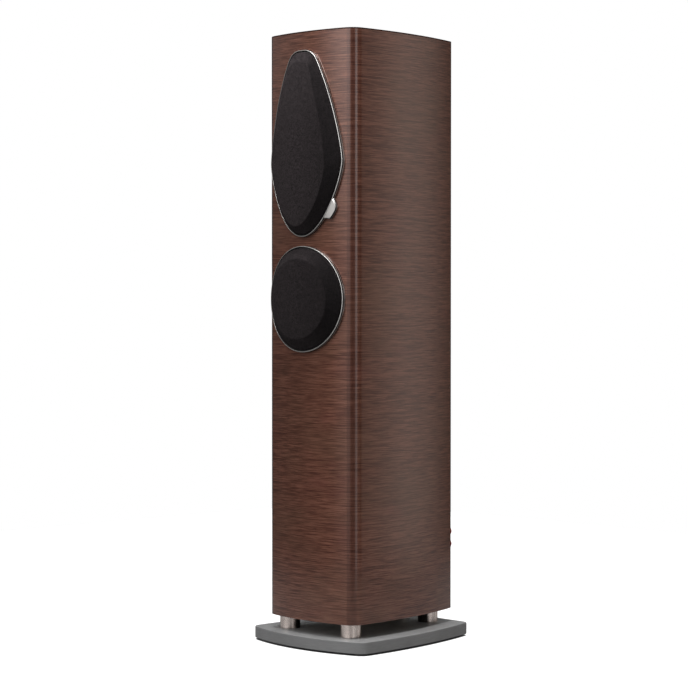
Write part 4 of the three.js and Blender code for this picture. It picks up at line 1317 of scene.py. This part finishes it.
def studio_world():
    """White to the camera. To everything else, a dark room with soft boxes round the speaker."""
    world = bpy.data.worlds.new("studio")
    bpy.context.scene.world = world
    world.use_nodes = True
    w = Nodes(world.node_tree)
    w.tree.nodes.clear()
    x, y, z = w.axes(w.node("TexCoord").outputs["Generated"])
    bearing = w.math("DEGREES", w.math("ARCTAN2", x, w.product(y, -1)))
    height = w.math("DEGREES", w.math("ARCSINE", z))
    glow = DARK_ROOM
    for low, high, edge, strength, bottom, bottom_edge in SOFT_BOXES:
        inside = w.product(
            w.remap(bearing, low - edge, low + edge),
            w.remap(bearing, high + edge, high - edge),
            w.remap(height, bottom - bottom_edge, bottom + bottom_edge),
            w.remap(height, *BOX_TOP),
            strength,
        )
        glow = w.math("ADD", glow, inside)
    seen = w.seen_by_camera()
    tint = w.blend(w.remap(bearing, 100, 130), WHITE, WARM)
    look = {"Color": w.blend(seen, tint, WHITE), "Strength": w.mix("FLOAT", seen, glow, 1.0)}
    background = w.node("Background", look)
    w.node("OutputWorld", {"Surface": background.outputs[0]})


FLOOR = Values(half_size=1800, thickness=20, shade=0.22, contact=60 * MM, fades=(1.7, 0.35))


def floor():
    """Matt floor. To the camera it also glows white wherever nothing stands close above it.

    It fades out away from the speaker for every other ray, so that no horizon is mirrored."""
    s = Shader("floor")
    open_sky = s.node("AmbientOcclusion", {"Distance": FLOOR.contact}, samples=16).outputs["AO"]
    seen = s.seen_by_camera()
    distance = s.vector("LENGTH", {0: s.place}, "Value")
    s.set(base_color=(FLOOR.shade,) * 3, roughness=0.9, specular_ior_level=0.0)
    s.set(emission_color=WHITE, emission_strength=s.product(seen, s.remap(open_sky, 0.25, 0.6)))
    s.set(alpha=s.math("MAXIMUM", seen, s.remap(distance, *FLOOR.fades)))
    span = (-FLOOR.half_size, FLOOR.half_size)
    obj = to_object("floor", block(span, span, (-FLOOR.thickness, 0)))
    obj.data.materials.append(s.material)


def area_light(name, place, target, size, power, mirrored=True):
    light = bpy.data.lights.new(name, "AREA")
    light.shape = "RECTANGLE"
    light.size, light.size_y = size
    light.energy = power
    obj = bpy.data.objects.new(name, light)
    obj.location = place
    obj.rotation_euler = (Vector(target) - Vector(place)).to_track_quat("-Z", "Y").to_euler()
    obj.visible_glossy = mirrored
    obj.visible_camera = False
    bpy.context.scene.collection.objects.link(obj)


CAMERA = Values(place=(2648.7, -2455.6, 569.6), lens=116.9, down=1.244, round=46.313)


def camera():
    """Level with the speaker's middle, 46 degrees round to its right, looking very slightly down."""
    data = bpy.data.cameras.new("camera")
    data.sensor_width = 36
    data.lens = CAMERA.lens
    data.clip_start, data.clip_end = 0.1, 100
    obj = bpy.data.objects.new("camera", data)
    obj.location = in_row(Vector(CAMERA.place))
    obj.rotation_euler = (radians(90 - CAMERA.down), 0, radians(CAMERA.round))
    bpy.context.scene.collection.objects.link(obj)
    bpy.context.scene.camera = obj


studio_world()
floor()
area_light("overhead", (0.25, -0.35, 2.7), (0, 0, 0), (1.2, 1.2), 75)
area_light("front", (0.1, -1.25, 1.75), (0, -0.1, 0.75), (0.7, 0.7), 10)
area_light("right_fill", (1.6, 0.1, 0.12), (0, 0.1, 0.15), (0.6, 0.3), 4.5, mirrored=False)
area_light("rear_fill", (-1.3, 2.25, 1.1), (0, 0.1, 0.5), (0.9, 1.4), 40, mirrored=False)
camera()
bpy.context.scene.view_settings.view_transform = "Standard"
